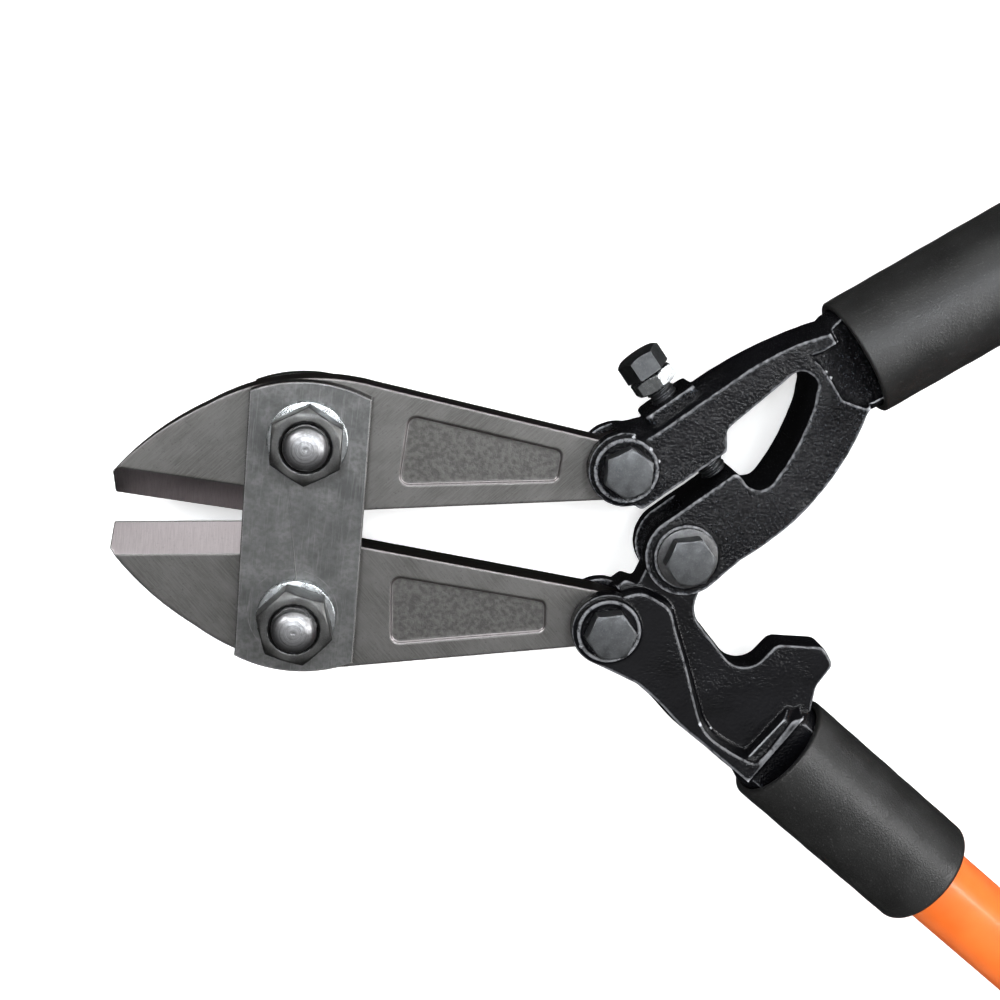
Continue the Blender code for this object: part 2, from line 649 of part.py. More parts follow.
def centre_slot(tail, centre):
    """The room that the centre bolt needs in the lower tongue, as the two handles turn together.

    The jaws turn by a fixed share of the handles' turn here, which a real linkage doesn't keep, so
    the bolt wanders by a few millimetres in the tongue between its limits.
    """
    samples = 12
    spots = []
    for i in range(samples + 1):
        relative = -CLOSING_TURN + (CLOSING_TURN + OPENING_TURN) * i / samples
        handle = relative / (1 + JAW_SHARE)
        plate_bolt = Vector((0, PLATE_BOLT_Y))
        jaw_turn = Matrix.Rotation(math.radians(-handle * JAW_SHARE), 2)
        handle_turn = Matrix.Rotation(math.radians(handle), 2)
        pin = plate_bolt + jaw_turn @ (Vector(tail) - plate_bolt)
        bolt = pin + handle_turn @ (Vector(centre) - Vector(tail))
        lower_pin = Vector((pin.x, -pin.y))
        spot = Vector((tail[0], -tail[1])) + handle_turn @ (bolt - lower_pin)
        spots += [Vector(p) for p in arc(spot, PIVOT_R + 0.4, 0, 345, 23)]
    return [tuple(spots[i]) for i in convex_hull_2d(spots)]


def make_lower_handle(tail, centre, pivot, materials):
    """tail is the upper handle bolt's place: the lower one is its mirror."""
    low_tail = (tail[0], -tail[1])
    forging = slab(
        "lower_handle_forging", block_outline(low_tail), -FORGING_HALF, FORGING_HALF,
        1.0, 1, materials["black_paint"],
    )
    axis_point = polar(centre, LOWER_OFFSET, LOWER_ANGLE - 90)
    tube_place = lengthwise(axis_point, LOWER_ANGLE)
    neck, outer, bore = socket("lower", tube_place, LOWER_MOUTH)
    web = lay(slab("lower_web", web_outline(centre), -JAW_HALF, JAW_HALF, 0.8, 1), Matrix())
    lay(forging, recentred(forging, low_tail), pivot)
    for piece in (web, neck, outer, boss("lower_tail_boss", low_tail)):
        add(forging, piece)
    reach = FORGING_HALF + BOSS_RISE + 1
    slot = lay(slab("centre_slot", centre_slot(tail, centre), -9, 9), Matrix())
    outward(slot)
    cutters = [jaw_slot("lower_jaw_room", tail, -1), bore, slot]
    cutters.append(round_cutter("lower_tail_hole", PIVOT_R + GAP, -reach, reach, at(low_tail)))
    cutters.append(make_handle_tube("lower", tube_place, LOWER_MOUTH, pivot, materials))
    for tool in cutters:
        cut(forging, tool)


def make_adjuster(pivots, materials):
    """The screw that sets how far the jaws shut, with its lock nut run up under the head."""
    place = lengthwise(SCREW_HEAD, SCREW_ANGLE)
    screw = hexagon(
        "adjusting_screw", SCREW_HEX, -SCREW_HEAD_HALF, SCREW_HEAD_HALF, (True, False),
        materials["dark_steel"],
    )
    profile = [(0, SCREW_HEAD_HALF - 2), (SCREW_R, SCREW_HEAD_HALF - 2), (SCREW_R, SCREW_TIP - 1.2)]
    profile += [(SCREW_R - 1.2, SCREW_TIP), (0, SCREW_TIP)]
    shank = turned("adjusting_screw_shank", profile)
    shank.parent = screw
    add(screw, shank)
    lay(screw, place, pivots["adjusting_screw"])
    nut = hexagon(
        "adjusting_lock_nut", SCREW_HEX, LOCK_NUT_START, LOCK_NUT_START + LOCK_NUT_HEIGHT,
        (True, True), materials["zinc"], SCREW_R + GAP,
    )
    lay(nut, place @ Matrix.Rotation(math.radians(20), 4, "Z"), pivots["adjusting_lock_nut"])


def make_centre_washer(centre, pivot, materials):
    low = FORGING_HALF + BOSS_RISE + GAP
    high = low + CENTRE_WASHER_THICK
    corners = [(PIVOT_R + GAP, low), (CENTRE_WASHER_R, low), (CENTRE_WASHER_R, high - 0.3)]
    corners += [(CENTRE_WASHER_R - 0.3, high), (PIVOT_R + GAP, high)]
    washer = pipe("centre_washer", corners, material=materials["dark_steel"])
    lay(washer, at(centre), pivot)
    return high + GAP


def pivot_empty(name, point, parent=None):
    empty = bpy.data.objects.new(name + "_pivot", None)
    bpy.context.scene.collection.objects.link(empty)
    empty.parent = parent
    world = WORLD @ at(point)
    empty.matrix_local = parent.matrix_world.inverted() @ world if parent else world
    bpy.context.view_layer.update()
    return empty


def main():
    for old in list(bpy.data.objects):
        bpy.data.objects.remove(old, do_unlink=True)
    materials = make_materials()
    shut_tail = polar((0, PLATE_BOLT_Y), JAW_REACH, PIN_LINE)
    tail = polar((0, PLATE_BOLT_Y), JAW_REACH, PIN_LINE - JAW_OPEN)
    centre = (tail[0] + math.sqrt(LINK**2 - tail[1] ** 2), 0.0)
    low_tail = (tail[0], -tail[1])
    pivots = {
        "upper_jaw": pivot_empty("upper_jaw", (0, PLATE_BOLT_Y)),
        "lower_jaw": pivot_empty("lower_jaw", (0, -PLATE_BOLT_Y)),
    }
    pivots["upper_handle"] = pivot_empty("upper_handle", tail, pivots["upper_jaw"])
    pivots["lower_handle"] = pivot_empty("lower_handle", low_tail, pivots["lower_jaw"])
    for name in ("adjusting_screw", "adjusting_lock_nut"):
        pivots[name] = pivot_empty(name, SCREW_HEAD, pivots["upper_handle"])
    make_jaws(pivots, shut_tail, materials)
    make_side_plates(materials)
    make_plate_fasteners(materials)
    make_upper_handle(tail, centre, pivots["upper_handle"], materials)
    make_lower_handle(tail, centre, pivots["lower_handle"], materials)
    make_adjuster(pivots, materials)
    head_base = FORGING_HALF + BOSS_RISE + GAP
    make_pivot_bolt("upper_jaw_tail", tail, pivots["upper_handle"], head_base, 0, materials)
    make_pivot_bolt("lower_jaw_tail", low_tail, pivots["lower_handle"], head_base, -20, materials)
    raised = make_centre_washer(centre, pivots["upper_handle"], materials)
    make_pivot_bolt("centre", centre, pivots["upper_handle"], raised, -20, materials)


main()
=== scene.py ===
"""Looks of the bolt cutters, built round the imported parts. Sizes are in millimetres up to the mesh."""

import math

import bmesh
import bpy
from mathutils import Matrix, Vector, noise
from mathutils.geometry import convex_hull_2d


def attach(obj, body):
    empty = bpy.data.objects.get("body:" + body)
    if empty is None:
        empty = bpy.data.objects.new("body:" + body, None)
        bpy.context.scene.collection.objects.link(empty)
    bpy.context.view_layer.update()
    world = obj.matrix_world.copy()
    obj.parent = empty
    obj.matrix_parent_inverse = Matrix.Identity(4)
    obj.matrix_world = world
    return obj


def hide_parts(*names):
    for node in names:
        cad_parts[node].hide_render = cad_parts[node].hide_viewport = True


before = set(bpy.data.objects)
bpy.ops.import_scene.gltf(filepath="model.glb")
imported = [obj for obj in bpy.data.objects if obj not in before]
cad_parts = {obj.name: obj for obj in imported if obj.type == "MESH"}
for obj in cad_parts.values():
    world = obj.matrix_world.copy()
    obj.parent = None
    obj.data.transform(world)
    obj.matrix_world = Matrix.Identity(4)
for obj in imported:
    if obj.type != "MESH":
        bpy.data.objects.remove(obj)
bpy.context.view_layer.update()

MM = 0.001
BACKDROP_RADIUS = 8.0
GAP = 0.3

# The linkage, in the plane of the tool
PLATE_BOLT_Y = 28.0
JAW_REACH = 98.5
PIN_LINE = 3.34
JAW_OPEN = 4.5
LINK = 34.0
UPPER_ANGLE = 34.8
LOWER_ANGLE = -36.8
UPPER_OFFSET = 25.7
LOWER_OFFSET = 28.0
HANDLE_REACH = 608.0
JAW_SHARE = 0.15
CLOSING_TURN = 34.5
OPENING_TURN = 12.0

# Layers through the thickness, from the middle plane
JAW_HALF = 6.5
LAYER_HALF = 6.9
PLATE_THICK = 7.0
PLATE_FACE = LAYER_HALF + PLATE_THICK
FORGING_HALF = 13.0
BOSS_RISE = 1.2
REST_DEPTH = 23.0

# Jaws
EDGE_Y = 0.15
TIP_X = -57.0
EDGE_END_X = -12.0
BEVEL_RISE = 9.7
EDGE_LAND = 0.2
TAIL_RADIUS = 9.8
POCKET_DEPTH = 0.8

# Side plates and their fasteners
PLATE_HALF_WIDTH = 18.5
PLATE_CORNER_Y = 41.8
PLATE_CROWN_Y = 45.8
PLATE_BOLT_R = 7.0
PLATE_HEX = 21.0
PLATE_NUT_HEIGHT = 10.5
PLATE_WASHER_R = 12.3
PLATE_WASHER_THICK = 2.5
PLATE_BOLT_TOP = 32.0

# Handle bolts and centre bolt
PIVOT_R = 5.0
PIVOT_HEX = 14.0
PIVOT_HEAD = 6.5
PIVOT_NUT_HEX = 16.0
PIVOT_NUT_HEIGHT = 8.0
BOSS_R = 10.4
SPOT_R = 9.1
CHEEK_R = 11.8
CENTRE_CHEEK_R = 13.0
CENTRE_TONGUE_R = 11.5
TONGUE_ROOM_R = 15.6
CENTRE_WASHER_R = 9.6
CENTRE_WASHER_THICK = 1.5

# Adjusting screw
SCREW_HEAD = (102.1, 58.2)
SCREW_ANGLE = -50.3
SCREW_R = 4.5
SCREW_HEX = 13.0
SCREW_HEAD_HALF = 3.5
SCREW_TIP = 42.7
LOCK_NUT_START = 3.9
LOCK_NUT_HEIGHT = 5.0
PAD_START = 12.9
PAD_HALF = 9.2
PAD_DEPTH_HALF = 10.0
PAD_END = 27.0

# Sockets, tubes, sleeves and grips
UPPER_MOUTH = 77.7
LOWER_MOUTH = 72.5
SOCKET_R = 17.0
SOCKET_PAST_MOUTH = 36.0
NECK_HALF = 11.5
NECK_PAST_MOUTH = 12.0
TUBE_R = 13.6
TUBE_WALL = 2.0
SLEEVE_R = 19.7
SLEEVE_LENGTH = 70.5
GRIP_LENGTH = 150.0
GRIP_R = 18.4
GRIP_END_WALL = 4.0
PIN_R = 2.5
PIN_PAST_MOUTH = 23.0

CIRCLE_STEPS = 96
FILLET_STEP = 6.0  # degrees
FORGING_VOXEL = 0.42
JAW_VOXEL = 0.33

WORLD = Matrix.Translation((0, -PLATE_BOLT_Y * MM, REST_DEPTH * MM))


def polar(centre, radius, degrees):
    turn = math.radians(degrees)
    return (centre[0] + radius * math.cos(turn), centre[1] + radius * math.sin(turn))


def arc(centre, radius, start, end, steps=0):
    """Points on a circle from start to end, in degrees."""
    steps = steps or max(4, round(abs(end - start) / 3))
    return [polar(centre, radius, start + (end - start) * i / steps) for i in range(steps + 1)]


def arc_through(first, middle, last, steps=0):
    """Points on the circle through three points, from the first to the last."""
    (ax, ay), (bx, by), (cx, cy) = first, middle, last
    twice = 2 * (ax * (by - cy) + bx * (cy - ay) + cx * (ay - by))
    a2, b2, c2 = ax * ax + ay * ay, bx * bx + by * by, cx * cx + cy * cy
    x = (a2 * (by - cy) + b2 * (cy - ay) + c2 * (ay - by)) / twice
    y = (a2 * (cx - bx) + b2 * (ax - cx) + c2 * (bx - ax)) / twice
    turns = [math.degrees(math.atan2(p[1] - y, p[0] - x)) for p in (first, middle, last)]
    clockwise = (turns[1] - turns[0]) % 360 > (turns[2] - turns[0]) % 360
    sweep = -((turns[0] - turns[2]) % 360) if clockwise else (turns[2] - turns[0]) % 360
    steps = steps or max(6, round(abs(sweep) / 2.5))
    return arc((x, y), math.dist((x, y), first), turns[0], turns[0] + sweep, steps)


def outline(corners):
    """A closed outline. A corner is (x, y), or (x, y, radius) where it is rounded."""
    points = []
    for i, corner in enumerate(corners):
        here = Vector(corner[:2])
        if len(corner) == 2:
            points.append(tuple(here))
            continue
        back = (Vector(corners[i - 1][:2]) - here).normalized()
        ahead = (Vector(corners[(i + 1) % len(corners)][:2]) - here).normalized()
        half = back.angle(ahead) / 2
        start = here + back * corner[2] / math.tan(half)
        end = here + ahead * corner[2] / math.tan(half)
        centre = here + (back + ahead).normalized() * corner[2] / math.sin(half)
        middle = centre + (here - centre).normalized() * corner[2]
        steps = max(3, round(math.degrees(math.pi - 2 * half) / FILLET_STEP))
        points += arc_through(tuple(start), tuple(middle), tuple(end), steps)
    return points


def mirrored(points):
    return [(x, -y, *rest) for x, y, *rest in reversed(points)]


def inset(points, distance):
    """The outline moved into its own material."""
    moved = []
    for i, point in enumerate(points):
        before = (Vector(point) - Vector(points[i - 1])).normalized()
        after = (Vector(points[(i + 1) % len(points)]) - Vector(point)).normalized()
        normals = Vector((-before.y, before.x)) + Vector((-after.y, after.x))
        moved.append(tuple(Vector(point) + normals * distance / (1 + before.dot(after))))
    return moved


def new_object(name, built):
    mesh = bpy.data.meshes.new(name)
    bmesh.ops.recalc_face_normals(built, faces=built.faces)
    built.to_mesh(mesh)
    built.free()
    mesh.shade_smooth()
    mesh.set_sharp_from_angle(angle=math.radians(35))
    made = bpy.data.objects.new(name, mesh)
    bpy.context.scene.collection.objects.link(made)
    return made


def stacked(name, rings):
    """A closed solid through rings of the same number of points."""
    built = bmesh.new()
    levels = [[built.verts.new((x * MM, y * MM, z * MM)) for x, y, z in ring] for ring in rings]
    for lower, upper in zip(levels, levels[1:]):
        for i in range(len(lower)):
            built.faces.new((lower[i - 1], lower[i], upper[i], upper[i - 1]))
    built.faces.new(reversed(levels[0]))
    built.faces.new(levels[-1])
    return new_object(name, built)


def slab(name, points, low, high, edge=0.0, steps=3, draft=0.0):
    """An outline given a thickness. edge rounds its rims, and draft leans its sides in from mid height."""
    if not edge:
        return stacked(name, [[(x, y, z) for x, y in points] for z in (low, high)])
    rings = []
    for end, way in ((low, 1), (high, -1)):
        half = []
        for i in range(steps + 1):
            turn = math.pi / 2 * i / steps
            ring = inset(points, draft + edge * (1 - math.sin(turn)))
            half.append([(x, y, end + way * edge * (1 - math.cos(turn))) for x, y in ring])
        rings += half if way == 1 else half[::-1]
        if way == 1 and draft:
            rings.append([(x, y, (low + high) / 2) for x, y in points])
    return stacked(name, rings)


def turned(name, profile, steps=CIRCLE_STEPS):
    """A profile of (radius, height) turned round Z, from one end on the axis to the other."""
    built = bmesh.new()
    rings = []
    for radius, height in profile:
        count = 1 if radius == 0 else steps
        ring = [polar((0, 0), radius, 360 * i / steps) for i in range(count)]
        rings.append([built.verts.new((x * MM, y * MM, height * MM)) for x, y in ring])
    for lower, upper in zip(rings, rings[1:]):
        for i in range(steps):
            if len(lower) == 1:
                sides = (lower[0], upper[i], upper[i - 1])
            elif len(upper) == 1:
                sides = (lower[i - 1], lower[i], upper[0])
            else:
                sides = (lower[i - 1], lower[i], upper[i], upper[i - 1])
            built.faces.new(sides)
    return new_object(name, built)


def pipe(name, profile, steps=CIRCLE_STEPS):
    """A closed loop of (radius, height) points, none on the axis, turned round Z."""
    built = bmesh.new()
    rings = []
    for radius, height in profile:
        ring = [polar((0, 0), radius, 360 * i / steps) for i in range(steps)]
        rings.append([built.verts.new((x * MM, y * MM, height * MM)) for x, y in ring])
    for j, upper in enumerate(rings):
        lower = rings[j - 1]
        for i in range(steps):
            built.faces.new((lower[i - 1], lower[i], upper[i], upper[i - 1]))
    return new_object(name, built)


def threaded(name, radius, pitch, low, high, end_chamfer=1.0, depth_share=0.5):
    """A rod with a helical thread, its far end chamfered."""
    depth = pitch * depth_share
    rows = max(2, round((high - low) / pitch * 8))
    rings = []
    for j in range(rows + 1):
        z = low + (high - low) * j / rows
        cap = min(1.0, (high - z) / end_chamfer) if end_chamfer else 1.0
        ring = []
        for i in range(CIRCLE_STEPS):
            phase = (z / pitch - i / CIRCLE_STEPS) % 1
            groove = max(0.0, min(1.0, (1 - abs(2 * phase - 1)) * 1.4 - 0.2))
            r = min(radius - depth * groove, radius - end_chamfer * (1 - cap))
            ring.append((*polar((0, 0), r, 360 * i / CIRCLE_STEPS), z))
        rings.append(ring)
    return stacked(name, rings)


def boolean(target, tool, operation, solver="EXACT"):
    step = target.modifiers.new(tool.name, "BOOLEAN")
    step.operation = operation
    step.solver = solver
    step.object = tool
    tool.hide_render = True
    HELPERS.append(tool)


def lay(piece, place):
    """Puts a piece, drawn round the plates' middle or its own axis, in the world."""
    piece.matrix_world = WORLD @ place
    return piece


def at(point, turn=0.0, level=0.0):
    spot = Matrix.Translation((point[0] * MM, point[1] * MM, level * MM))
    return spot @ Matrix.Rotation(math.radians(turn), 4, "Z")


def lengthwise(point, turn):
    return at(point, turn) @ Matrix.Rotation(math.pi / 2, 4, "Y")


def rod(radius, low, high):
    return [(0, low), (radius, low), (radius, high), (0, high)]


def remeshed(piece, voxel, passes):
    """Rebuilds a piece as one fine even skin, then rounds its edges by smoothing."""
    skin = piece.modifiers.new("skin", "REMESH")
    skin.mode = "VOXEL"
    skin.voxel_size = voxel * MM
    skin.use_smooth_shade = True
    round_off = piece.modifiers.new("round", "SMOOTH")
    round_off.factor = 0.5
    round_off.iterations = passes


def applied(piece):
    """Keeps the result of all its modifiers as its mesh."""
    bpy.context.view_layer.update()
    graph = bpy.context.evaluated_depsgraph_get()
    mesh = bpy.data.meshes.new_from_object(piece.evaluated_get(graph))
    piece.modifiers.clear()
    old = piece.data
    piece.data = mesh
    bpy.data.meshes.remove(old)
    return piece


def roughened(piece, waves):
    """Moves each point along its normal by smooth noise. waves holds (size, height) pairs."""
    mesh = piece.data
    normals = [v.normal.copy() for v in mesh.vertices]
    for vertex, normal in zip(mesh.vertices, normals):
        spot = vertex.co / MM
        height = sum(rise * noise.noise(spot / size) for size, rise in waves)
        vertex.co += normal * height * MM


def shown(piece, node, body, finish):
    """Makes a finished piece stand for its CAD node."""
    applied(piece)
    piece.name = node + "_shown"
    piece.data.materials.clear()
    piece.data.materials.append(FINISHES[finish])
    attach(piece, body)
    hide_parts(node)
    return piece


def hexagon(name, across_flats, low, high, chamfers, bore=0.0):
    """A hexagonal head or nut along Z. chamfers says which of its ends, low and high, are chamfered."""
    corner = across_flats / math.sqrt(3)
    points = [polar((0, 0), corner, 30 + 60 * i) for i in range(6)]
    made = slab(name, points, low, high)
    face = across_flats / 2 * 0.95
    slope = (corner + 0.2 - face) * math.tan(math.radians(30))
    profile = [(0, low), (face, low), (corner + 0.2, low + slope)]
    if not chamfers[0]:
        profile = [(0, low - 1), (corner + 0.2, low - 1)]
    if chamfers[1]:
        profile += [(corner + 0.2, high - slope), (face, high), (0, high)]
    else:
        profile += [(corner + 0.2, high + 1), (0, high + 1)]
    boolean(made, turned(name + "_limit", profile, 48), "INTERSECT")
    if bore:
        lead = 0.7
        hole = [(0, low - 1), (bore + lead + 1, low - 1), (bore, low + lead), (bore, high - lead)]
        hole += [(bore + lead + 1, high + 1), (0, high + 1)]
        boolean(made, turned(name + "_hole", hole, 64), "DIFFERENCE")
    return made


def softened(piece, width):
    edge = piece.modifiers.new("edge", "BEVEL")
    edge.width = width * MM
    edge.segments = 2
    edge.limit_method = "ANGLE"
    edge.angle_limit = math.radians(32)
    edge.use_clamp_overlap = True
    evened(piece)


def evened(piece):
    """Keeps wide faces flat in the shading, beside rounded edges."""
    step = piece.modifiers.new("evened", "WEIGHTED_NORMAL")
    step.keep_sharp = True


# Shapes, in the tool's plane


def jaw_outline(tail):
    crown = arc_through((18.0, 46.6), (7.0, 47.0), (-3.4, 45.7))
    nose = arc_through((-3.4, 45.7), (-17.5, 41.5), (-32.0, 32.9))[1:]
    nose += arc_through((-32.0, 32.9), (-46.4, 21.3), (-57.9, 7.7))[1:]
    corners = [(TIP_X, EDGE_Y), (EDGE_END_X, EDGE_Y), (-4.0, 2.6, 6.0), (94.7, 22.2)]
    corners += arc(tail, TAIL_RADIUS, -70, 130)
    corners += [(88.8, 41.0)] + crown + nose
    return outline(corners)


def bevel_cutter(name, side):
    slope = JAW_HALF / BEVEL_RISE
    low, high = -3.0, BEVEL_RISE + 3.0
    heights = [EDGE_LAND + (y - EDGE_Y) * slope for y in (low, high)]
    triangle = [(low, heights[0]), (high, heights[1]), (low, heights[1])]
    rings = [[(x, y, side * z) for y, z in triangle] for x in (TIP_X - 6, EDGE_END_X)]
    return stacked(name, rings)


def build_jaws(shut_tail):
    """Two like jaws: the lower one is the upper one turned over."""
    pocket = [(29.9, 17.4, 2.5), (78.4, 26.2, 2.0), (78.3, 35.3, 2.0), (29.7, 38.9, 2.5)]
    floor = outline(pocket)
    rim = inset(floor, -0.7)
    for name, (side, over) in {"upper_jaw": (1, 0.0), "lower_jaw": (-1, math.pi)}.items():
        jaw = slab(name + "_raw", jaw_outline(shut_tail), -JAW_HALF, JAW_HALF)
        tools = [bevel_cutter(name + "_grind_a", 1), bevel_cutter(name + "_grind_b", -1)]
        for face in (1, -1):
            rings = [[(x, y, face * (JAW_HALF - POCKET_DEPTH)) for x, y in floor]]
            rings.append([(x, y, face * (JAW_HALF + 0.1)) for x, y in rim])
            tools.append(stacked(f"{name}_pocket_{face + 1}", rings))
        plate_hole = turned(name + "_plate_hole", rod(PLATE_BOLT_R + GAP, -9, 9))
        plate_hole.data.transform(Matrix.Translation((0, PLATE_BOLT_Y * MM, 0)))
        tail_hole = turned(name + "_tail_hole", rod(PIVOT_R + GAP, -9, 9))
        tail_hole.data.transform(Matrix.Translation((shut_tail[0] * MM, shut_tail[1] * MM, 0)))
        place = at((0, side * PLATE_BOLT_Y), -side * JAW_OPEN) @ Matrix.Rotation(over, 4, "X")
        for piece in [jaw, *tools, plate_hole, tail_hole]:
            piece.data.transform(Matrix.Translation((0, -PLATE_BOLT_Y * MM, 0)))
            lay(piece, place)
        for tool in [*tools, plate_hole, tail_hole]:
            boolean(jaw, tool, "DIFFERENCE")
        remeshed(jaw, JAW_VOXEL, 3)
        applied(jaw)
        roughened(jaw, ((9.0, 0.03), (2.2, 0.012)))
        shown(jaw, name, name, "jaw_steel")


def build_side_plates():
    crown = arc_through(
        (PLATE_HALF_WIDTH, PLATE_CORNER_Y), (0, PLATE_CROWN_Y), (-PLATE_HALF_WIDTH, PLATE_CORNER_Y)
    )
    points = crown + [(-x, -y) for x, y in crown]
    for name, low in (("front_side_plate", LAYER_HALF), ("rear_side_plate", -PLATE_FACE)):
        plate = lay(slab(name + "_raw", points, low, low + PLATE_THICK, 0.45), Matrix())
        for side in (1, -1):
            hole = turned(f"{name}_hole_{side + 1}", rod(PLATE_BOLT_R + GAP, low - 2, low + 9))
            boolean(plate, lay(hole, at((0, side * PLATE_BOLT_Y))), "DIFFERENCE")
        evened(plate)
        shown(plate, name, "side_plates", "plate_steel")


def build_plate_fasteners():
    face = PLATE_FACE + GAP
    washer_top = face + PLATE_WASHER_THICK
    nut_low = washer_top + GAP
    nut_high = nut_low + PLATE_NUT_HEIGHT
    for side, word, nut_turn in ((1, "upper", 0), (-1, "lower", 16)):
        place = at((0, side * PLATE_BOLT_Y), nut_turn)
        bolt = hexagon(f"{word}_bolt_raw", PLATE_HEX, -REST_DEPTH, -face, (True, False))
        start = nut_high + 0.9
        shank = threaded(f"{word}_bolt_thread", PLATE_BOLT_R, 2.0, -face - 3, start, 0)
        boolean(bolt, shank, "UNION")
        lay(bolt, place)
        lay(shank, place)
        dome_r = PLATE_BOLT_R - 0.25
        rise = PLATE_BOLT_TOP - start - 0.5
        profile = [(0, start - 1.5), (dome_r - 0.6, start - 1.5), (dome_r - 0.5, start - 0.2)]
        for i in range(25):
            turn = math.pi / 2 * i / 24
            ripple = 0.035 * math.sin(i * 2.1)
            profile.append((dome_r * math.cos(turn) ** 0.85, start + 0.5 + rise * math.sin(turn) + ripple))
        top = profile[-1][1]
        profile[-1] = (0.75, top - 0.1)
        profile += [(0.6, top - 0.45), (0, top - 0.6)]
        dome = lay(turned(f"{word}_dome", profile), place)
        applied(bolt)
        dome.data.materials.append(FINISHES["bolt_end"])
        dome.name = f"{word}_plate_bolt_end"
        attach(dome, "side_plates")
        shown(bolt, f"{word}_plate_bolt", "side_plates", "dark_steel")
        r_in, r_out = PLATE_BOLT_R + GAP, PLATE_WASHER_R
        corners = [(r_in, face), (r_out - 0.3, face), (r_out, face + 0.3), (r_out, washer_top - 0.5)]
        corners += [(r_out - 0.15, washer_top - 0.15), (r_out - 0.5, washer_top), (r_in, washer_top)]
        washer = lay(pipe(f"{word}_washer_raw", corners), place)
        shown(washer, f"{word}_plate_washer", "side_plates", "zinc")
        bore = PLATE_BOLT_R + GAP
        nut = hexagon(f"{word}_nut_raw", PLATE_HEX, nut_low, nut_high, (True, True), bore)
        lay_all(nut, place)
        softened(nut, 0.22)
        shown(nut, f"{word}_plate_nut", "side_plates", "nut_steel")


def lay_all(piece, place):
    """Lays a piece together with the tools of its Booleans."""
    lay(piece, place)
    for step in piece.modifiers:
        if step.type == "BOOLEAN":
            lay(step.object, place)


def build_pivot_bolt(word, node, body, centre, head_base, turn):
    nut_high = -FORGING_HALF - BOSS_RISE - GAP
    bolt = hexagon(f"{word}_head", PIVOT_HEX, head_base, head_base + PIVOT_HEAD, (False, True))
    shank = threaded(f"{word}_thread", PIVOT_R, 1.5, -REST_DEPTH, nut_high + 2, 0)
    plain = turned(f"{word}_plain", rod(PIVOT_R, nut_high + 1, head_base + 2))
    boolean(bolt, shank, "UNION")
    boolean(bolt, plain, "UNION")
    lay_all(bolt, at(centre, turn))
    softened(bolt, 0.25)
    shown(bolt, f"{node}_bolt", body, "head_steel")
    nut_low, bore = nut_high - PIVOT_NUT_HEIGHT, PIVOT_R + GAP
    nut = hexagon(f"{word}_nut_raw", PIVOT_NUT_HEX, nut_low, nut_high, (True, True), bore)
    lay_all(nut, at(centre, turn + 11))
    softened(nut, 0.22)
    shown(nut, f"{node}_nut", body, "head_steel")


def jaw_slot(name, tail, side):
    radius = TAIL_RADIUS + 0.6
    rest = 180 + PIN_LINE - JAW_OPEN
    shut, wide = rest + CLOSING_TURN, rest - OPENING_TURN
    inner = polar(tail, TAIL_RADIUS + 1.3, shut + 90)
    outer = polar(tail, radius, wide - 90)
    points = arc(tail, radius, wide - 90, shut + 90 - 360)
    points += [inner, polar(inner, 50, shut + 7.1), polar(tail, 60, rest), polar(outer, 50, wide)]
    points = points[::-1]
    if side < 0:
        points = mirrored(points)
    return lay(slab(name, points, -LAYER_HALF, LAYER_HALF), Matrix())


def neck_ring(radius, height):
    """A circle flattened to the neck's thickness, drawn across the tube's axis."""
    flat = math.degrees(math.acos(NECK_HALF / radius))
    points = arc((0, 0), radius, flat, 180 - flat, 30)
    points += arc((0, 0), radius, 180 + flat, 360 - flat, 30)
    return [(x, y, height) for x, y in points]


def socket(name, place, mouth):
    """A forging's flattened neck at the sleeve's mouth, the round socket past it, and the tube's bore."""
    start, end = mouth + NECK_PAST_MOUTH, mouth + SOCKET_PAST_MOUTH
    rings = [neck_ring(SOCKET_R - 2.5, mouth - 10), neck_ring(SOCKET_R, mouth - 3)]
    neck = stacked(name + "_neck", [*rings, neck_ring(SOCKET_R, start + 1)])
    profile = [(0, start), (SOCKET_R, start), (SOCKET_R, end - 0.8), (SOCKET_R - 0.8, end), (0, end)]
    outer = turned(name + "_socket", profile)
    bore = turned(name + "_bore", rod(TUBE_R + GAP, start + 2, end + 2))
    return [lay(piece, place) for piece in (neck, outer, bore)]


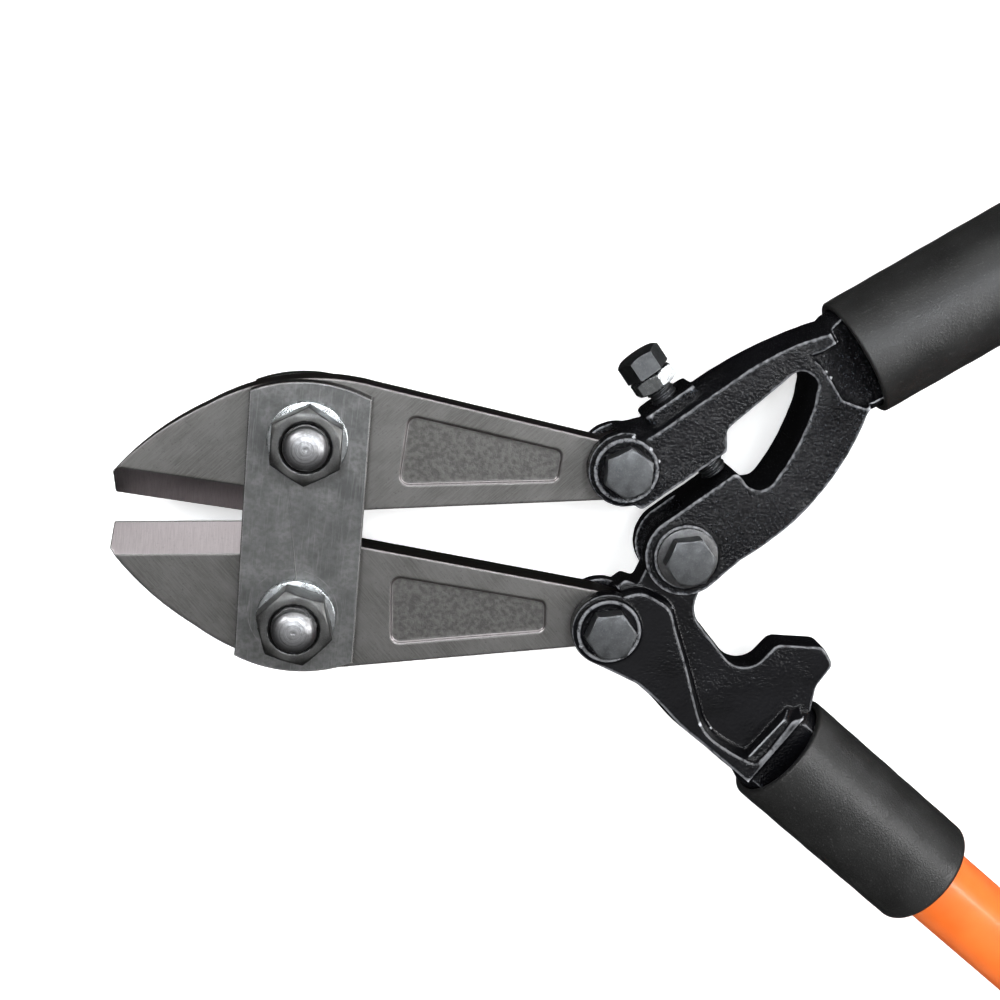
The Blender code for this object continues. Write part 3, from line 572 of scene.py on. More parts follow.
def build_handle_tube(word, place, mouth):
    body = f"{word}_handle"
    inner = TUBE_R - TUBE_WALL
    low, high = mouth + NECK_PAST_MOUTH + 2.5, HANDLE_REACH - GRIP_END_WALL - GAP
    corners = [(inner, low), (TUBE_R, low), (TUBE_R, high), (inner, high)]
    tube = lay(pipe(f"{word}_tube_raw", corners), place)
    shown(tube, f"{word}_handle_tube", body, "orange_paint")
    half = SOCKET_R - 0.3
    profile = [(0, -half), (PIN_R - 0.4, -half), (PIN_R, 0.4 - half)]
    profile += [(PIN_R, half - 0.4), (PIN_R - 0.4, half), (0, half)]
    along = Matrix.Translation((0, 0, (mouth + PIN_PAST_MOUTH) * MM))
    pin_place = place @ along @ Matrix.Rotation(-math.pi / 2, 4, "Y")
    pin = lay(turned(f"{word}_pin_raw", profile, 32), pin_place)
    shown(pin, f"{word}_tube_pin", body, "dark_steel")
    end = mouth + SLEEVE_LENGTH
    step = mouth + SOCKET_PAST_MOUTH + 0.5
    snug, bored = TUBE_R + GAP, SOCKET_R + GAP
    corners = [(bored, mouth + 0.5), (bored + 0.3, mouth + 0.1)]
    corners += [(SLEEVE_R - 0.9 + 0.9 * math.sin(a), mouth + 0.9 - 0.9 * math.cos(a)) for a in quarter(8)]
    wall = SLEEVE_LENGTH - 4.4
    corners += [(SLEEVE_R + 0.05 * math.sin(i), mouth + 2 + wall * i / 30) for i in range(31)]
    corners += [(SLEEVE_R - 1.8 + 1.8 * math.cos(a), end - 1.8 + 1.8 * math.sin(a)) for a in quarter(8)]
    corners += [(snug, end), (snug, step), (bored, step)]
    sleeve = lay(pipe(f"{word}_sleeve_raw", corners, 128), place)
    shown(sleeve, f"{word}_sleeve", body, "sleeve_rubber")
    start = HANDLE_REACH - GRIP_LENGTH
    inside = HANDLE_REACH - GRIP_END_WALL
    profile = [(0, inside), (snug, inside), (snug, start)]
    profile += [(radius, start + z) for radius, z in grip_profile()]
    grip = lay(turned(f"{word}_grip_raw", profile, 128), place)
    shown(grip, f"{word}_grip", body, "grip_rubber")


def quarter(steps):
    return [math.pi / 2 * i / steps for i in range(steps + 1)]


def grip_profile():
    """Radius and height along a grip: a rolled collar, a ribbed waist and a rounded end."""
    points = [(GRIP_R - 2.2, 0.0), (GRIP_R - 1.0, 0.3), (GRIP_R - 0.3, 1.2), (GRIP_R, 3.0)]
    waist = GRIP_R - 1.7
    points += [(GRIP_R - 0.2, 6.5), (GRIP_R - 1.4, 9.0), (waist, 11.5)]
    ribs, rib_start, pitch = 24, 14.0, 5.0
    for i in range(ribs * 6):
        z = rib_start + pitch * i / 6
        crest = max(0.0, math.sin(2 * math.pi * i / 6)) ** 0.6
        points.append((waist + 0.9 * i / (ribs * 6) + 0.8 * crest, z))
    points += [(GRIP_R - 0.3, 136.0), (GRIP_R, 139.0), (GRIP_R - 0.3, 143.0)]
    points += [(GRIP_R - 6 + 5.6 * math.cos(a), 144.2 + 5.6 * math.sin(a)) for a in quarter(8)]
    points += [(0, 149.9)]
    return points


def curved(corners, steps=8):
    """A smooth line through each of the corners."""
    points = [corners[0]]
    ends = [corners[0], *corners, corners[-1]]
    for a, b, c, d in zip(ends, ends[1:], ends[2:], ends[3:]):
        a, b, c, d = (Vector(p) for p in (a, b, c, d))
        for i in range(1, steps + 1):
            t = i / steps
            swing = (c - a) * t + (2 * a - 5 * b + 4 * c - d) * t * t + (3 * b - a - 3 * c + d) * t**3
            points.append(tuple(b + swing / 2))
    return points


def upper_outline(tail, centre, level):
    """level is "face" for the front and rear faces, or "middle" for the widest outline between them."""
    if level == "middle":
        back = [(107.0, 43.2), (100.8, 40.2), (95.5, 37.7)]
        spine = [(155.6, 76.0), (145.0, 71.0), (133.4, 64.3), (120.4, 55.0)]
    else:
        back = [polar(tail, CHEEK_R, turn) for turn in (62, 82, 102)]
        spine = [(157.6, 73.6), (146.9, 69.1), (136.0, 62.4), (126.6, 54.9)]
    cheek = arc(tail, CHEEK_R, 122, 290)
    corners = curved([*spine, *back, cheek[0]]) + cheek[1:]
    corners += [(104.8, 13.5, 1.8), (129.8, 34.2, 2.0), (128.8, 41.0, 3.0), (149.5, 62.0, 4.5)]
    corners += [(155.6, 58.6, 3.5)]
    corners += arc_through((155.2, 51.0), (151.8, 38.8), (146.6, 27.6))
    corners += [(141.6, 19.0, 5.5), (133.7, 28.2, 2.0)]
    corners += arc(centre, CENTRE_CHEEK_R, 131, 315)
    corners += arc_through((138.2, -0.2), (162.5, 25.4), (172.6, 49.4))
    return outline(corners + [(173.6, 51.4)])


def boss(name, point):
    """A round raised face on both sides of a forging, spot-faced for a bolt head."""
    top = FORGING_HALF + BOSS_RISE
    side = [(SPOT_R - 0.4, top - 0.5), (SPOT_R, top), (BOSS_R - 0.5, top), (BOSS_R, top - 0.5)]
    profile = [(0, top - 0.5)] + side + [(r, -z) for r, z in reversed(side)] + [(0, 0.5 - top)]
    return lay(turned(name, profile), at(point))


def build_forging(name, first, others, cutters, body, waves, finish):
    forging = lay(first, Matrix())
    for piece in others:
        boolean(forging, piece, "UNION", "MANIFOLD")
    for tool in cutters:
        boolean(forging, tool, "DIFFERENCE", "MANIFOLD")
    remeshed(forging, FORGING_VOXEL, 5)
    applied(forging)
    roughened(forging, waves)
    shown(forging, name, body, finish)


def drafted(name, face, middle, rim_edge=0.9):
    """A forging's raw block: its faces' outline widens to a parting band round its middle."""
    rings = []
    for i in range(4):
        turn = math.pi / 2 * i / 3
        ring = inset(face, rim_edge * (1 - math.sin(turn)))
        rings.append((ring, -FORGING_HALF + rim_edge * (1 - math.cos(turn))))
    rings.append((middle, -1.5))
    rings += [(points, -z) for points, z in reversed(rings)]
    return stacked(name, [[(x, y, z) for x, y in points] for points, z in rings])


def build_upper_handle(tail, centre):
    face, middle = (upper_outline(tail, centre, level) for level in ("face", "middle"))
    first = drafted("upper_raw", face, middle)
    place = lengthwise(polar(centre, UPPER_OFFSET, UPPER_ANGLE + 90), UPPER_ANGLE)
    neck, outer, bore = socket("upper", place, UPPER_MOUTH)
    screw_place = lengthwise(SCREW_HEAD, SCREW_ANGLE)
    corners = [(x * PAD_DEPTH_HALF, y * PAD_HALF, 2.5) for x, y in ((1, 1), (-1, 1), (-1, -1), (1, -1))]
    pad = lay(slab("screw_pad", outline(corners), PAD_START, PAD_END, 0.8), screw_place)
    web_room = arc(centre, TONGUE_ROOM_R, 3, 180)
    web_room += [polar(centre, 30, 205), polar(centre, 34, 270), polar(centre, 30, 3)]
    room = lay(slab("web_room", web_room, -LAYER_HALF, LAYER_HALF), Matrix())
    hole = rod(SCREW_R + GAP, PAD_START - 1, SCREW_TIP - 3)
    screw_hole = lay(turned("screw_hole", hole), screw_place)
    cutters = [jaw_slot("upper_jaw_room", tail, 1), room, neck_valley(), bore, screw_hole]
    for spot, word in ((tail, "tail_hole"), (centre, "centre_hole")):
        cutters.append(lay(turned(word, rod(PIVOT_R + GAP, -16, 16)), at(spot)))
    others = [neck, outer, pad, boss("upper_tail_boss", tail), boss("centre_boss", centre)]
    waves = ((9.0, 0.10), (3.0, 0.06), (1.6, 0.07))
    finish = "rough_black_paint"
    build_forging("upper_handle_forging", first, others, cutters, "upper_handle", waves, finish)
    build_handle_tube("upper", place, UPPER_MOUTH)


def neck_valley():
    """The sunk place on the front face where the two arms meet at the neck."""
    points = [(152.3, 65.8), (155.8, 63.6), (159.9, 59.0), (164.2, 53.4), (171.5, 51.6), (182.0, 58.0)]
    points += [(166.0, 82.0), (158.5, 74.6), (161.0, 71.0), (156.5, 67.7)]
    along, slope = Vector(polar((0, 0), 1, UPPER_ANGLE)), 0.30
    start = Vector(points[0]).dot(along)
    floor = [(x, y, FORGING_HALF - 0.6 - slope * (Vector((x, y)).dot(along) - start)) for x, y in points]
    wide = inset(points, -0.5)
    rings = [floor] + [[(x, y, z) for x, y in wide] for z in (FORGING_HALF + 0.5, FORGING_HALF + 3)]
    return lay(stacked("neck_valley", rings), Matrix())


def block_outline(tail, level):
    """level is "face" for the block's front and rear faces, or "middle" for its foot on the web."""
    if level == "middle":
        inner = [(165.4, -47.4), (161.8, -50.6), (158.6, -55.6), (152.4, -64.0), (149.4, -64.4)]
        inner += [(141.0, -60.4), (136.4, -56.4), (133.8, -50.8), (128.6, -38.8), (123.6, -27.2)]
        inner += [(119.9, -18.4), (115.8, -15.0)]
        outer = [(109.0, -44.2), (116.5, -50.4), (124.3, -57.8), (134.6, -65.2)]
        outer += [(144.6, -72.6), (150.0, -74.9)]
    else:
        inner = [(166.0, -51.0), (161.9, -52.4), (158.8, -57.2), (153.3, -65.6), (149.8, -67.2)]
        inner += [(138.2, -61.4), (132.8, -56.2), (129.8, -49.8), (125.2, -36.9), (120.4, -24.9)]
        inner += [(117.9, -18.4), (114.4, -15.6)]
        outer = [(109.6, -43.2), (117.3, -49.2), (125.2, -56.5), (135.5, -63.9)]
        outer += [(145.4, -71.2), (150.0, -74.6)]
    cheek = arc(tail, CHEEK_R, 74, 250)
    return curved([*inner, (107.8, -13.0), cheek[0]]) + cheek[1:] + curved(outer, 6)


def web_outline(centre):
    corners = arc(centre, CENTRE_TONGUE_R, -40, 205)
    corners += [(107.4, -11.6, 1.2), (103.2, -10.6, 1.6), (98.0, -15.0), (112.0, -40.0)]
    corners += [(148.0, -70.0), (169.4, -52.2), (170.2, -42.4, 5.0), (174.9, -34.6, 2.5)]
    corners += [(171.0, -28.6, 4.0), (155.2, -28.8, 4.0), (145.4, -41.4, 8.0), (125.7, -20.2, 9.0)]
    return outline(corners)


def centre_slot(tail, centre):
    """The room that the centre bolt needs in the lower tongue, as the two handles turn together."""
    samples = 12
    spots = []
    for i in range(samples + 1):
        relative = -CLOSING_TURN + (CLOSING_TURN + OPENING_TURN) * i / samples
        handle = relative / (1 + JAW_SHARE)
        plate_bolt = Vector((0, PLATE_BOLT_Y))
        jaw_turn = Matrix.Rotation(math.radians(-handle * JAW_SHARE), 2)
        handle_turn = Matrix.Rotation(math.radians(handle), 2)
        pin = plate_bolt + jaw_turn @ (Vector(tail) - plate_bolt)
        bolt = pin + handle_turn @ (Vector(centre) - Vector(tail))
        lower_pin = Vector((pin.x, -pin.y))
        spot = Vector((tail[0], -tail[1])) + handle_turn @ (bolt - lower_pin)
        spots += [Vector(p) for p in arc(spot, PIVOT_R + 0.4, 0, 345, 23)]
    return [tuple(spots[i]) for i in convex_hull_2d(spots)]


def build_lower_handle(tail, centre):
    low_tail = (tail[0], -tail[1])
    face, middle = (block_outline(low_tail, level) for level in ("face", "middle"))
    first = drafted("lower_raw", face, middle)
    place = lengthwise(polar(centre, LOWER_OFFSET, LOWER_ANGLE - 90), LOWER_ANGLE)
    neck, outer, bore = socket("lower", place, LOWER_MOUTH)
    web = lay(slab("lower_web", web_outline(centre), -JAW_HALF, JAW_HALF, 0.8, 3), Matrix())
    slot = lay(slab("centre_slot", centre_slot(tail, centre), -9, 9), Matrix())
    tail_hole = lay(turned("low_tail_hole", rod(PIVOT_R + GAP, -16, 16)), at(low_tail))
    cutters = [jaw_slot("lower_jaw_room", tail, -1), bore, slot, tail_hole]
    others = [web, neck, outer, boss("lower_tail_boss", low_tail)]
    waves = ((9.0, 0.08), (3.0, 0.03))
    build_forging("lower_handle_forging", first, others, cutters, "lower_handle", waves, "black_paint")
    build_handle_tube("lower", place, LOWER_MOUTH)


def build_adjuster():
    place = lengthwise(SCREW_HEAD, SCREW_ANGLE)
    screw = hexagon("screw_raw", SCREW_HEX, -SCREW_HEAD_HALF, SCREW_HEAD_HALF, (True, False))
    boolean(screw, threaded("screw_thread", SCREW_R, 1.5, SCREW_HEAD_HALF - 2, SCREW_TIP), "UNION")
    lay_all(screw, place)
    softened(screw, 0.22)
    shown(screw, "adjusting_screw", "adjusting_screw", "head_steel")
    nut_end = LOCK_NUT_START + LOCK_NUT_HEIGHT
    nut = hexagon("lock_nut_raw", SCREW_HEX, LOCK_NUT_START, nut_end, (True, True), SCREW_R + GAP)
    lay_all(nut, place @ Matrix.Rotation(math.radians(20), 4, "Z"))
    softened(nut, 0.2)
    shown(nut, "adjusting_lock_nut", "adjusting_lock_nut", "zinc")


def build_centre_washer(centre):
    low = FORGING_HALF + BOSS_RISE + GAP
    high = low + CENTRE_WASHER_THICK
    r_in, r_out = PIVOT_R + GAP, CENTRE_WASHER_R
    corners = [(r_in, low), (r_out - 0.2, low), (r_out, low + 0.2), (r_out, high - 0.3)]
    corners += [(r_out - 0.1, high - 0.1), (r_out - 0.3, high), (r_in, high)]
    washer = lay(pipe("centre_washer_raw", corners), at(centre))
    shown(washer, "centre_washer", "upper_handle", "dark_steel")
    return high + GAP


# Finishes


class Finish:
    """A Principled material, with short calls for the nodes that feed it."""

    def __init__(self, name, metallic, **fixed):
        self.made = bpy.data.materials.new(name + "_shown")
        self.made.use_nodes = True
        self.tree = self.made.node_tree
        self.shader = self.tree.nodes["Principled BSDF"]
        self.shader.inputs["Metallic"].default_value = metallic
        for socket_name, value in fixed.items():
            self.shader.inputs[socket_name.replace("_", " ")].default_value = value
        places = self.tree.nodes.new("ShaderNodeTexCoord")
        self.place = places.outputs["Object"]
        self.facing = places.outputs["Normal"]

    def new(self, kind, output=0, inputs=(), **settings):
        node = self.tree.nodes.new("ShaderNode" + kind)
        for name, value in settings.items():
            setattr(node, name, value)
        for key, value in dict(inputs).items():
            self.feed(node.inputs[key], value)
        return node.outputs[output]

    def feed(self, target, value):
        if isinstance(value, bpy.types.NodeSocket):
            self.tree.links.new(value, target)
        else:
            target.default_value = value

    def noise(self, scale, detail=4.0, roughness=0.55, place=None, distortion=0.0):
        inputs = {"Vector": place or self.place, "Scale": scale, "Detail": detail}
        inputs.update({"Roughness": roughness, "Distortion": distortion})
        return self.new("TexNoise", 0, inputs)

    def stretched(self, scales, turn=0.0):
        """Coordinates in millimetres, turned about Z by degrees and then scaled on each axis."""
        spun = self.new("Mapping", 0, {"Vector": self.place, "Rotation": (0, 0, math.radians(turn))})
        scales = tuple(s * 1000 for s in scales)
        return self.new("Mapping", 0, {"Vector": spun, "Scale": scales})

    def ramp(self, value, low, high, start=0.0, end=1.0):
        inputs = {0: value, 1: low, 2: high, 3: start, 4: end}
        return self.new("MapRange", 0, inputs, clamp=True)

    def calc(self, operation, first, second=0.0):
        return self.new("Math", 0, {0: first, 1: second}, operation=operation)

    def blend(self, share, first, second):
        colours = [(*c, 1.0) if isinstance(c, tuple) else c for c in (first, second)]
        return self.new("Mix", 2, {0: share, 6: colours[0], 7: colours[1]}, data_type="RGBA")

    def bump(self, height, strength, distance, below=None):
        inputs = {"Strength": strength, "Distance": distance * MM, "Height": height}
        if below is not None:
            inputs["Normal"] = below
        return self.new("Bump", 0, inputs)

    def edges(self, radius, low=0.004, high=0.06):
        """1 along outer and inner edges, 0 on open faces."""
        rounded = self.new("Bevel", 0, {"Radius": radius * MM}, samples=6)
        flat = self.new("NewGeometry", 1)
        dot = self.new("VectorMath", 1, {0: rounded, 1: flat}, operation="DOT_PRODUCT")
        return self.ramp(self.calc("SUBTRACT", 1.0, dot), low, high)

    def part_of_place(self, axis):
        return self.new("SeparateXYZ", axis, {0: self.place})

    def part_of_facing(self, axis):
        return self.new("SeparateXYZ", axis, {0: self.facing})

    def done(self, colour, roughness, normal=None):
        self.feed(self.shader.inputs["Base Color"], colour)
        self.feed(self.shader.inputs["Roughness"], roughness)
        if normal is not None:
            self.feed(self.shader.inputs["Normal"], normal)
        return self.made


def jaw_steel():
    f = Finish("jaw_steel", 1.0)
    cloud = f.noise(90, 5)
    lines = f.noise(1.0, 3, 0.6, f.stretched((0.12, 2.6, 0.4), -52))
    fine = f.noise(1.0, 2, 0.5, f.stretched((0.3, 7.0, 1.0), -47))
    grain = f.noise(2600, 2)
    marks = f.calc("MULTIPLY", f.calc("ADD", lines, fine), 0.5)
    base = f.blend(f.ramp(cloud, 0.35, 0.65), (0.165, 0.160, 0.152), (0.235, 0.228, 0.220))
    base = f.blend(f.ramp(marks, 0.42, 0.62, 0.0, 0.55), base, (0.30, 0.295, 0.285))
    speck = f.noise(1500, 3, 0.7)
    base = f.blend(f.ramp(speck, 0.60, 0.70, 0.0, 0.5), base, (0.09, 0.086, 0.08))
    up = f.calc("ABSOLUTE", f.part_of_facing(2))
    # Painted shade: faces that turn away from the tool's plane, the side walls, are darkened as if in
    # shade.
    side = f.ramp(up, 0.55, 0.25)
    base = f.blend(side, base, (0.075, 0.066, 0.060))
    slope = f.calc("MULTIPLY", f.ramp(up, 0.70, 0.78), f.ramp(up, 0.92, 0.88))
    bevel_lines = f.noise(1.0, 3, 0.6, f.stretched((5.0, 0.15, 0.3)))
    bevel = f.blend(f.ramp(bevel_lines, 0.35, 0.65), (0.50, 0.455, 0.465), (0.60, 0.55, 0.56))
    bevel = f.blend(f.ramp(speck, 0.58, 0.68, 0.0, 0.25), bevel, (0.26, 0.23, 0.27))
    base = f.blend(slope, base, bevel)
    depth = f.calc("ABSOLUTE", f.part_of_place(2))
    pocket = f.calc("MULTIPLY", f.ramp(depth, 0.0061, 0.0058), f.ramp(up, 0.9, 0.97))
    cast = f.noise(650, 4, 0.6)
    skin = f.blend(f.ramp(cast, 0.4, 0.6), (0.15, 0.146, 0.140), (0.215, 0.209, 0.20))
    base = f.blend(pocket, base, skin)
    # Brightened edges: partly real edge wear, partly a painted highlight standing in for light caught on
    # the rounded rims.
    wear_and_edge_highlight = f.calc("MULTIPLY", f.edges(0.9, 0.006, 0.05), f.ramp(f.noise(700, 3), 0.30, 0.50))
    base = f.blend(f.calc("MULTIPLY", wear_and_edge_highlight, 0.9), base, (0.62, 0.59, 0.58))
    rough = f.calc("ADD", f.ramp(cloud, 0.3, 0.7, 0.40, 0.50), f.calc("MULTIPLY", marks, 0.08))
    rough = f.calc("SUBTRACT", rough, f.calc("MULTIPLY", slope, 0.14))
    rough = f.calc("ADD", rough, f.calc("MULTIPLY", pocket, 0.10))
    normal = f.bump(marks, 0.35, 0.06)
    normal = f.bump(grain, 0.25, 0.04, normal)
    normal = f.bump(f.calc("MULTIPLY", cast, pocket), 0.6, 0.25, normal)
    return f.done(base, rough, normal)


def plate_steel():
    f = Finish("plate_steel", 1.0)
    cloud = f.noise(120, 6, 0.6)
    mottle = f.noise(700, 4, 0.65)
    across = f.noise(1.0, 3, 0.6, f.stretched((2.4, 0.10, 0.4), 2))
    base = f.blend(f.ramp(cloud, 0.36, 0.64), (0.165, 0.166, 0.166), (0.30, 0.30, 0.298))
    base = f.blend(f.ramp(mottle, 0.42, 0.62, 0.0, 0.55), base, (0.155, 0.155, 0.15))
    base = f.blend(f.ramp(across, 0.55, 0.72, 0.0, 0.5), base, (0.36, 0.36, 0.355))
    up = f.calc("ABSOLUTE", f.part_of_facing(2))
    # Painted shade: faces that turn away from the plate's plane, its side walls, are darkened as if in
    # shade.
    base = f.blend(f.ramp(up, 0.6, 0.2), base, (0.10, 0.096, 0.09))
    spot = f.new("Mapping", 0, {"Vector": f.place, "Location": (0.0012, (PLATE_BOLT_Y - 1.2) * MM, 0)})
    flat_spot = f.new("VectorMath", 0, {0: spot, 1: (1, 1, 0)}, operation="MULTIPLY")
    reach = f.new("VectorMath", 1, {0: flat_spot}, operation="LENGTH")
    ring = f.calc("COMPARE", reach, 13.9 * MM)
    ring.node.inputs[2].default_value = 0.12 * MM
    patch = f.ramp(f.noise(260, 2), 0.45, 0.55)
    mark = f.calc("MULTIPLY", f.calc("MULTIPLY", ring, patch), 0.5)
    base = f.blend(mark, base, (0.42, 0.42, 0.41))
    # Near-white edges: partly real edge wear, partly a painted highlight standing in for light caught on
    # the rounded edges.
    wear_and_edge_highlight = f.calc("MULTIPLY", f.edges(0.7, 0.006, 0.06), f.ramp(f.noise(800, 4, 0.7), 0.30, 0.44))
    base = f.blend(wear_and_edge_highlight, base, (0.95, 0.93, 0.91))
    rough = f.ramp(mottle, 0.3, 0.7, 0.40, 0.56)
    normal = f.bump(mottle, 0.22, 0.05)
    normal = f.bump(across, 0.25, 0.05, normal)
    return f.done(base, rough, normal)


def turned_steel(name, dark, light, rough_low, rough_high, edge_wear_and_highlight):
    """Heat-treated steel of bolts and nuts: matte, with a fine grain and brightened edges that are partly
    real wear and partly painted highlight.
    """
    f = Finish(name, 1.0)
    cloud = f.noise(260, 5, 0.6)
    grain = f.noise(2400, 3, 0.6)
    base = f.blend(f.ramp(cloud, 0.35, 0.65), dark, light)
    base = f.blend(f.ramp(grain, 0.52, 0.70, 0.0, 0.45), base, tuple(c * 1.6 for c in light))
    # Brightened edges: partly real wear, partly a painted highlight standing in for light caught on
    # chamfers and rims.
    wear_and_edge_highlight = f.calc("MULTIPLY", f.edges(0.4, 0.01, 0.12), f.ramp(f.noise(900, 3), 0.35, 0.55))
    base = f.blend(f.calc("MULTIPLY", wear_and_edge_highlight, edge_wear_and_highlight), base, (0.60, 0.60, 0.60))
    rough = f.ramp(grain, 0.3, 0.7, rough_low, rough_high)
    return f.done(base, rough, f.bump(grain, 0.3, 0.04, f.bump(cloud, 0.15, 0.15)))


def bolt_end():
    f = Finish("bolt_end", 1.0)
    spot = f.new("VectorMath", 0, {0: f.place, 1: (1, 1, 0)}, operation="MULTIPLY")
    reach = f.new("VectorMath", 1, {0: spot}, operation="LENGTH")
    cloud = f.noise(500, 5, 0.6)
    rings = f.noise(1.0, 3, 0.7, f.new("CombineXYZ", 0, {0: f.calc("MULTIPLY", reach, 2600.0)}))
    base = f.blend(f.ramp(rings, 0.35, 0.65), (0.40, 0.40, 0.41), (0.66, 0.66, 0.68))
    base = f.blend(f.ramp(cloud, 0.5, 0.68, 0.0, 0.6), base, (0.28, 0.275, 0.27))
    rough = f.ramp(cloud, 0.3, 0.7, 0.30, 0.44)
    normal = f.bump(rings, 0.55, 0.10)
    return f.done(base, rough, f.bump(cloud, 0.35, 0.12, normal))


def zinc():
    f = Finish("zinc", 1.0)
    cloud = f.noise(400, 4)
    base = f.blend(f.ramp(cloud, 0.35, 0.65), (0.50, 0.52, 0.53), (0.68, 0.71, 0.72))
    base = f.blend(f.ramp(f.noise(1500, 3), 0.58, 0.70, 0.0, 0.5), base, (0.42, 0.44, 0.42))
    rough = f.ramp(cloud, 0.3, 0.7, 0.20, 0.34)
    return f.done(base, rough, f.bump(f.noise(1800, 3), 0.2, 0.04))


def black_paint(name, hammered):
    """Gloss black over a forging. Light caught on its edges and, where it is hammered, on its bumps is
    painted into the colour as highlights.
    """
    f = Finish(name, 0.0, Specular_IOR_Level=0.32)
    cloud = f.noise(60, 3)
    hammer = f.noise(1150, 2, 0.5)
    fine = f.noise(3000, 2)
    patch = f.calc("MULTIPLY", f.ramp(f.noise(34, 2), 0.38, 0.60, 0.25, 1.0), hammered)
    base = f.blend(f.ramp(cloud, 0.35, 0.65), (0.0018, 0.0018, 0.0023), (0.0040, 0.0040, 0.0050))
    crest = f.new("NewGeometry", "Pointiness")
    up = f.ramp(f.part_of_facing(2), 0.25, 0.70)
    # Painted glints: bright bluish specks on the bumps of upward-facing faces stand in for light caught by
    # the hammered paint.
    painted_glint = f.calc("MULTIPLY", f.ramp(f.noise(1700, 3, 0.6), 0.54, 0.66), f.ramp(crest, 0.497, 0.515))
    painted_glint = f.calc("MULTIPLY", f.calc("MULTIPLY", painted_glint, patch), up)
    base = f.blend(f.calc("MULTIPLY", painted_glint, 0.9), base, (0.10, 0.115, 0.135))
    # Painted highlight: pale lines on upward-facing edges stand in for light caught on the forging's
    # rounded edges.
    rim = f.calc("MULTIPLY", f.ramp(crest, 0.515, 0.555), f.ramp(f.noise(420, 4, 0.7), 0.32, 0.50))
    base = f.blend(f.calc("MULTIPLY", f.calc("MULTIPLY", rim, up), 0.9), base, (0.56, 0.57, 0.60))
    rough = f.ramp(fine, 0.3, 0.7, 0.12, 0.24)
    normal = f.bump(f.calc("MULTIPLY", hammer, patch), 1.0, 1.5)
    return f.done(base, rough, f.bump(fine, 0.25, 0.05, normal))


def rubber(name, tone, rough_low, rough_high, grain_size, dust):
    f = Finish(name, 0.0, Specular_IOR_Level=0.7)
    grain = f.noise(grain_size, 3, 0.6)
    cloud = f.noise(55, 5, 0.6)
    streak = f.noise(1.0, 3, 0.6, f.stretched((0.5, 0.5, 0.03)))
    dark, light, chalky = (tuple(c * share for c in tone) for share in (0.75, 1.25, 5))
    base = f.blend(f.ramp(cloud, 0.35, 0.65), dark, light)
    base = f.blend(f.ramp(grain, 0.60, 0.72, 0.0, dust), base, chalky)
    rough = f.ramp(cloud, 0.3, 0.7, rough_low, rough_high)
    normal = f.bump(grain, 0.8, 0.20)
    return f.done(base, rough, f.bump(streak, 0.12, 0.12, normal))


def orange_paint():
    f = Finish("orange_paint", 0.0, Coat_Weight=0.3, Coat_Roughness=0.12)
    cloud = f.noise(45, 4)
    peel = f.noise(500, 2)
    speck = f.noise(1900, 2)
    base = f.blend(f.ramp(cloud, 0.35, 0.65), (0.80, 0.135, 0.012), (0.88, 0.175, 0.020))
    base = f.blend(f.ramp(speck, 0.66, 0.74, 0.0, 0.4), base, (0.60, 0.11, 0.012))
    rough = f.ramp(cloud, 0.3, 0.7, 0.34, 0.44)
    return f.done(base, rough, f.bump(peel, 0.18, 0.12))


def floor_finish():
    f = Finish("floor", 0.0, Emission_Color=(1, 1, 1, 1), Emission_Strength=0.55)
    grain = f.noise(300, 4)
    base = f.blend(f.ramp(grain, 0.3, 0.7), (0.86, 0.86, 0.86), (0.89, 0.89, 0.89))
    return f.done(base, f.ramp(grain, 0.3, 0.7, 0.55, 0.62), f.bump(grain, 0.03, 0.05))


def backdrop_finish():
    f = Finish("backdrop", 0.0, Emission_Color=(1, 1, 1, 1), Emission_Strength=1.0)
    cloud = f.noise(2, 2)
    base = f.blend(f.ramp(cloud, 0.3, 0.7), (0.86, 0.86, 0.86), (0.89, 0.89, 0.89))
    return f.done(base, 0.9)


HELPERS = []
FINISHES = {
    "jaw_steel": jaw_steel(),
    "plate_steel": plate_steel(),
    "dark_steel": turned_steel("dark_steel", (0.11, 0.11, 0.112), (0.17, 0.17, 0.172), 0.36, 0.5, 0.8),
    "nut_steel": turned_steel("nut_steel", (0.12, 0.12, 0.118), (0.19, 0.19, 0.186), 0.32, 0.46, 0.9),
    "head_steel": turned_steel("head_steel", (0.125, 0.13, 0.135), (0.18, 0.186, 0.192), 0.42, 0.54, 0.7),
    "bolt_end": bolt_end(),
    "zinc": zinc(),
    "rough_black_paint": black_paint("rough_black_paint", 1.0),
    "black_paint": black_paint("black_paint", 0.25),
    "sleeve_rubber": rubber("sleeve_rubber", (0.012, 0.012, 0.0118), 0.34, 0.46, 1500, 0.8),
    "grip_rubber": rubber("grip_rubber", (0.013, 0.013, 0.0135), 0.5, 0.65, 900, 0.3),
    "orange_paint": orange_paint(),
}


def build_tool():
    shut_tail = polar((0, PLATE_BOLT_Y), JAW_REACH, PIN_LINE)
    tail = polar((0, PLATE_BOLT_Y), JAW_REACH, PIN_LINE - JAW_OPEN)
    centre = (tail[0] + math.sqrt(LINK**2 - tail[1] ** 2), 0.0)
    build_jaws(shut_tail)
    build_side_plates()
    build_plate_fasteners()
    build_upper_handle(tail, centre)
    build_lower_handle(tail, centre)
    build_adjuster()
    head_base = FORGING_HALF + BOSS_RISE + GAP
    build_pivot_bolt("upper_tail", "upper_jaw_tail", "upper_handle", tail, head_base, 0)
    build_pivot_bolt("lower_tail", "lower_jaw_tail", "lower_handle", (tail[0], -tail[1]), head_base, -20)
    raised = build_centre_washer(centre)
    build_pivot_bolt("middle", "centre", "upper_handle", centre, raised, -20)
    for helper in HELPERS:
        bpy.data.objects.remove(helper, do_unlink=True)


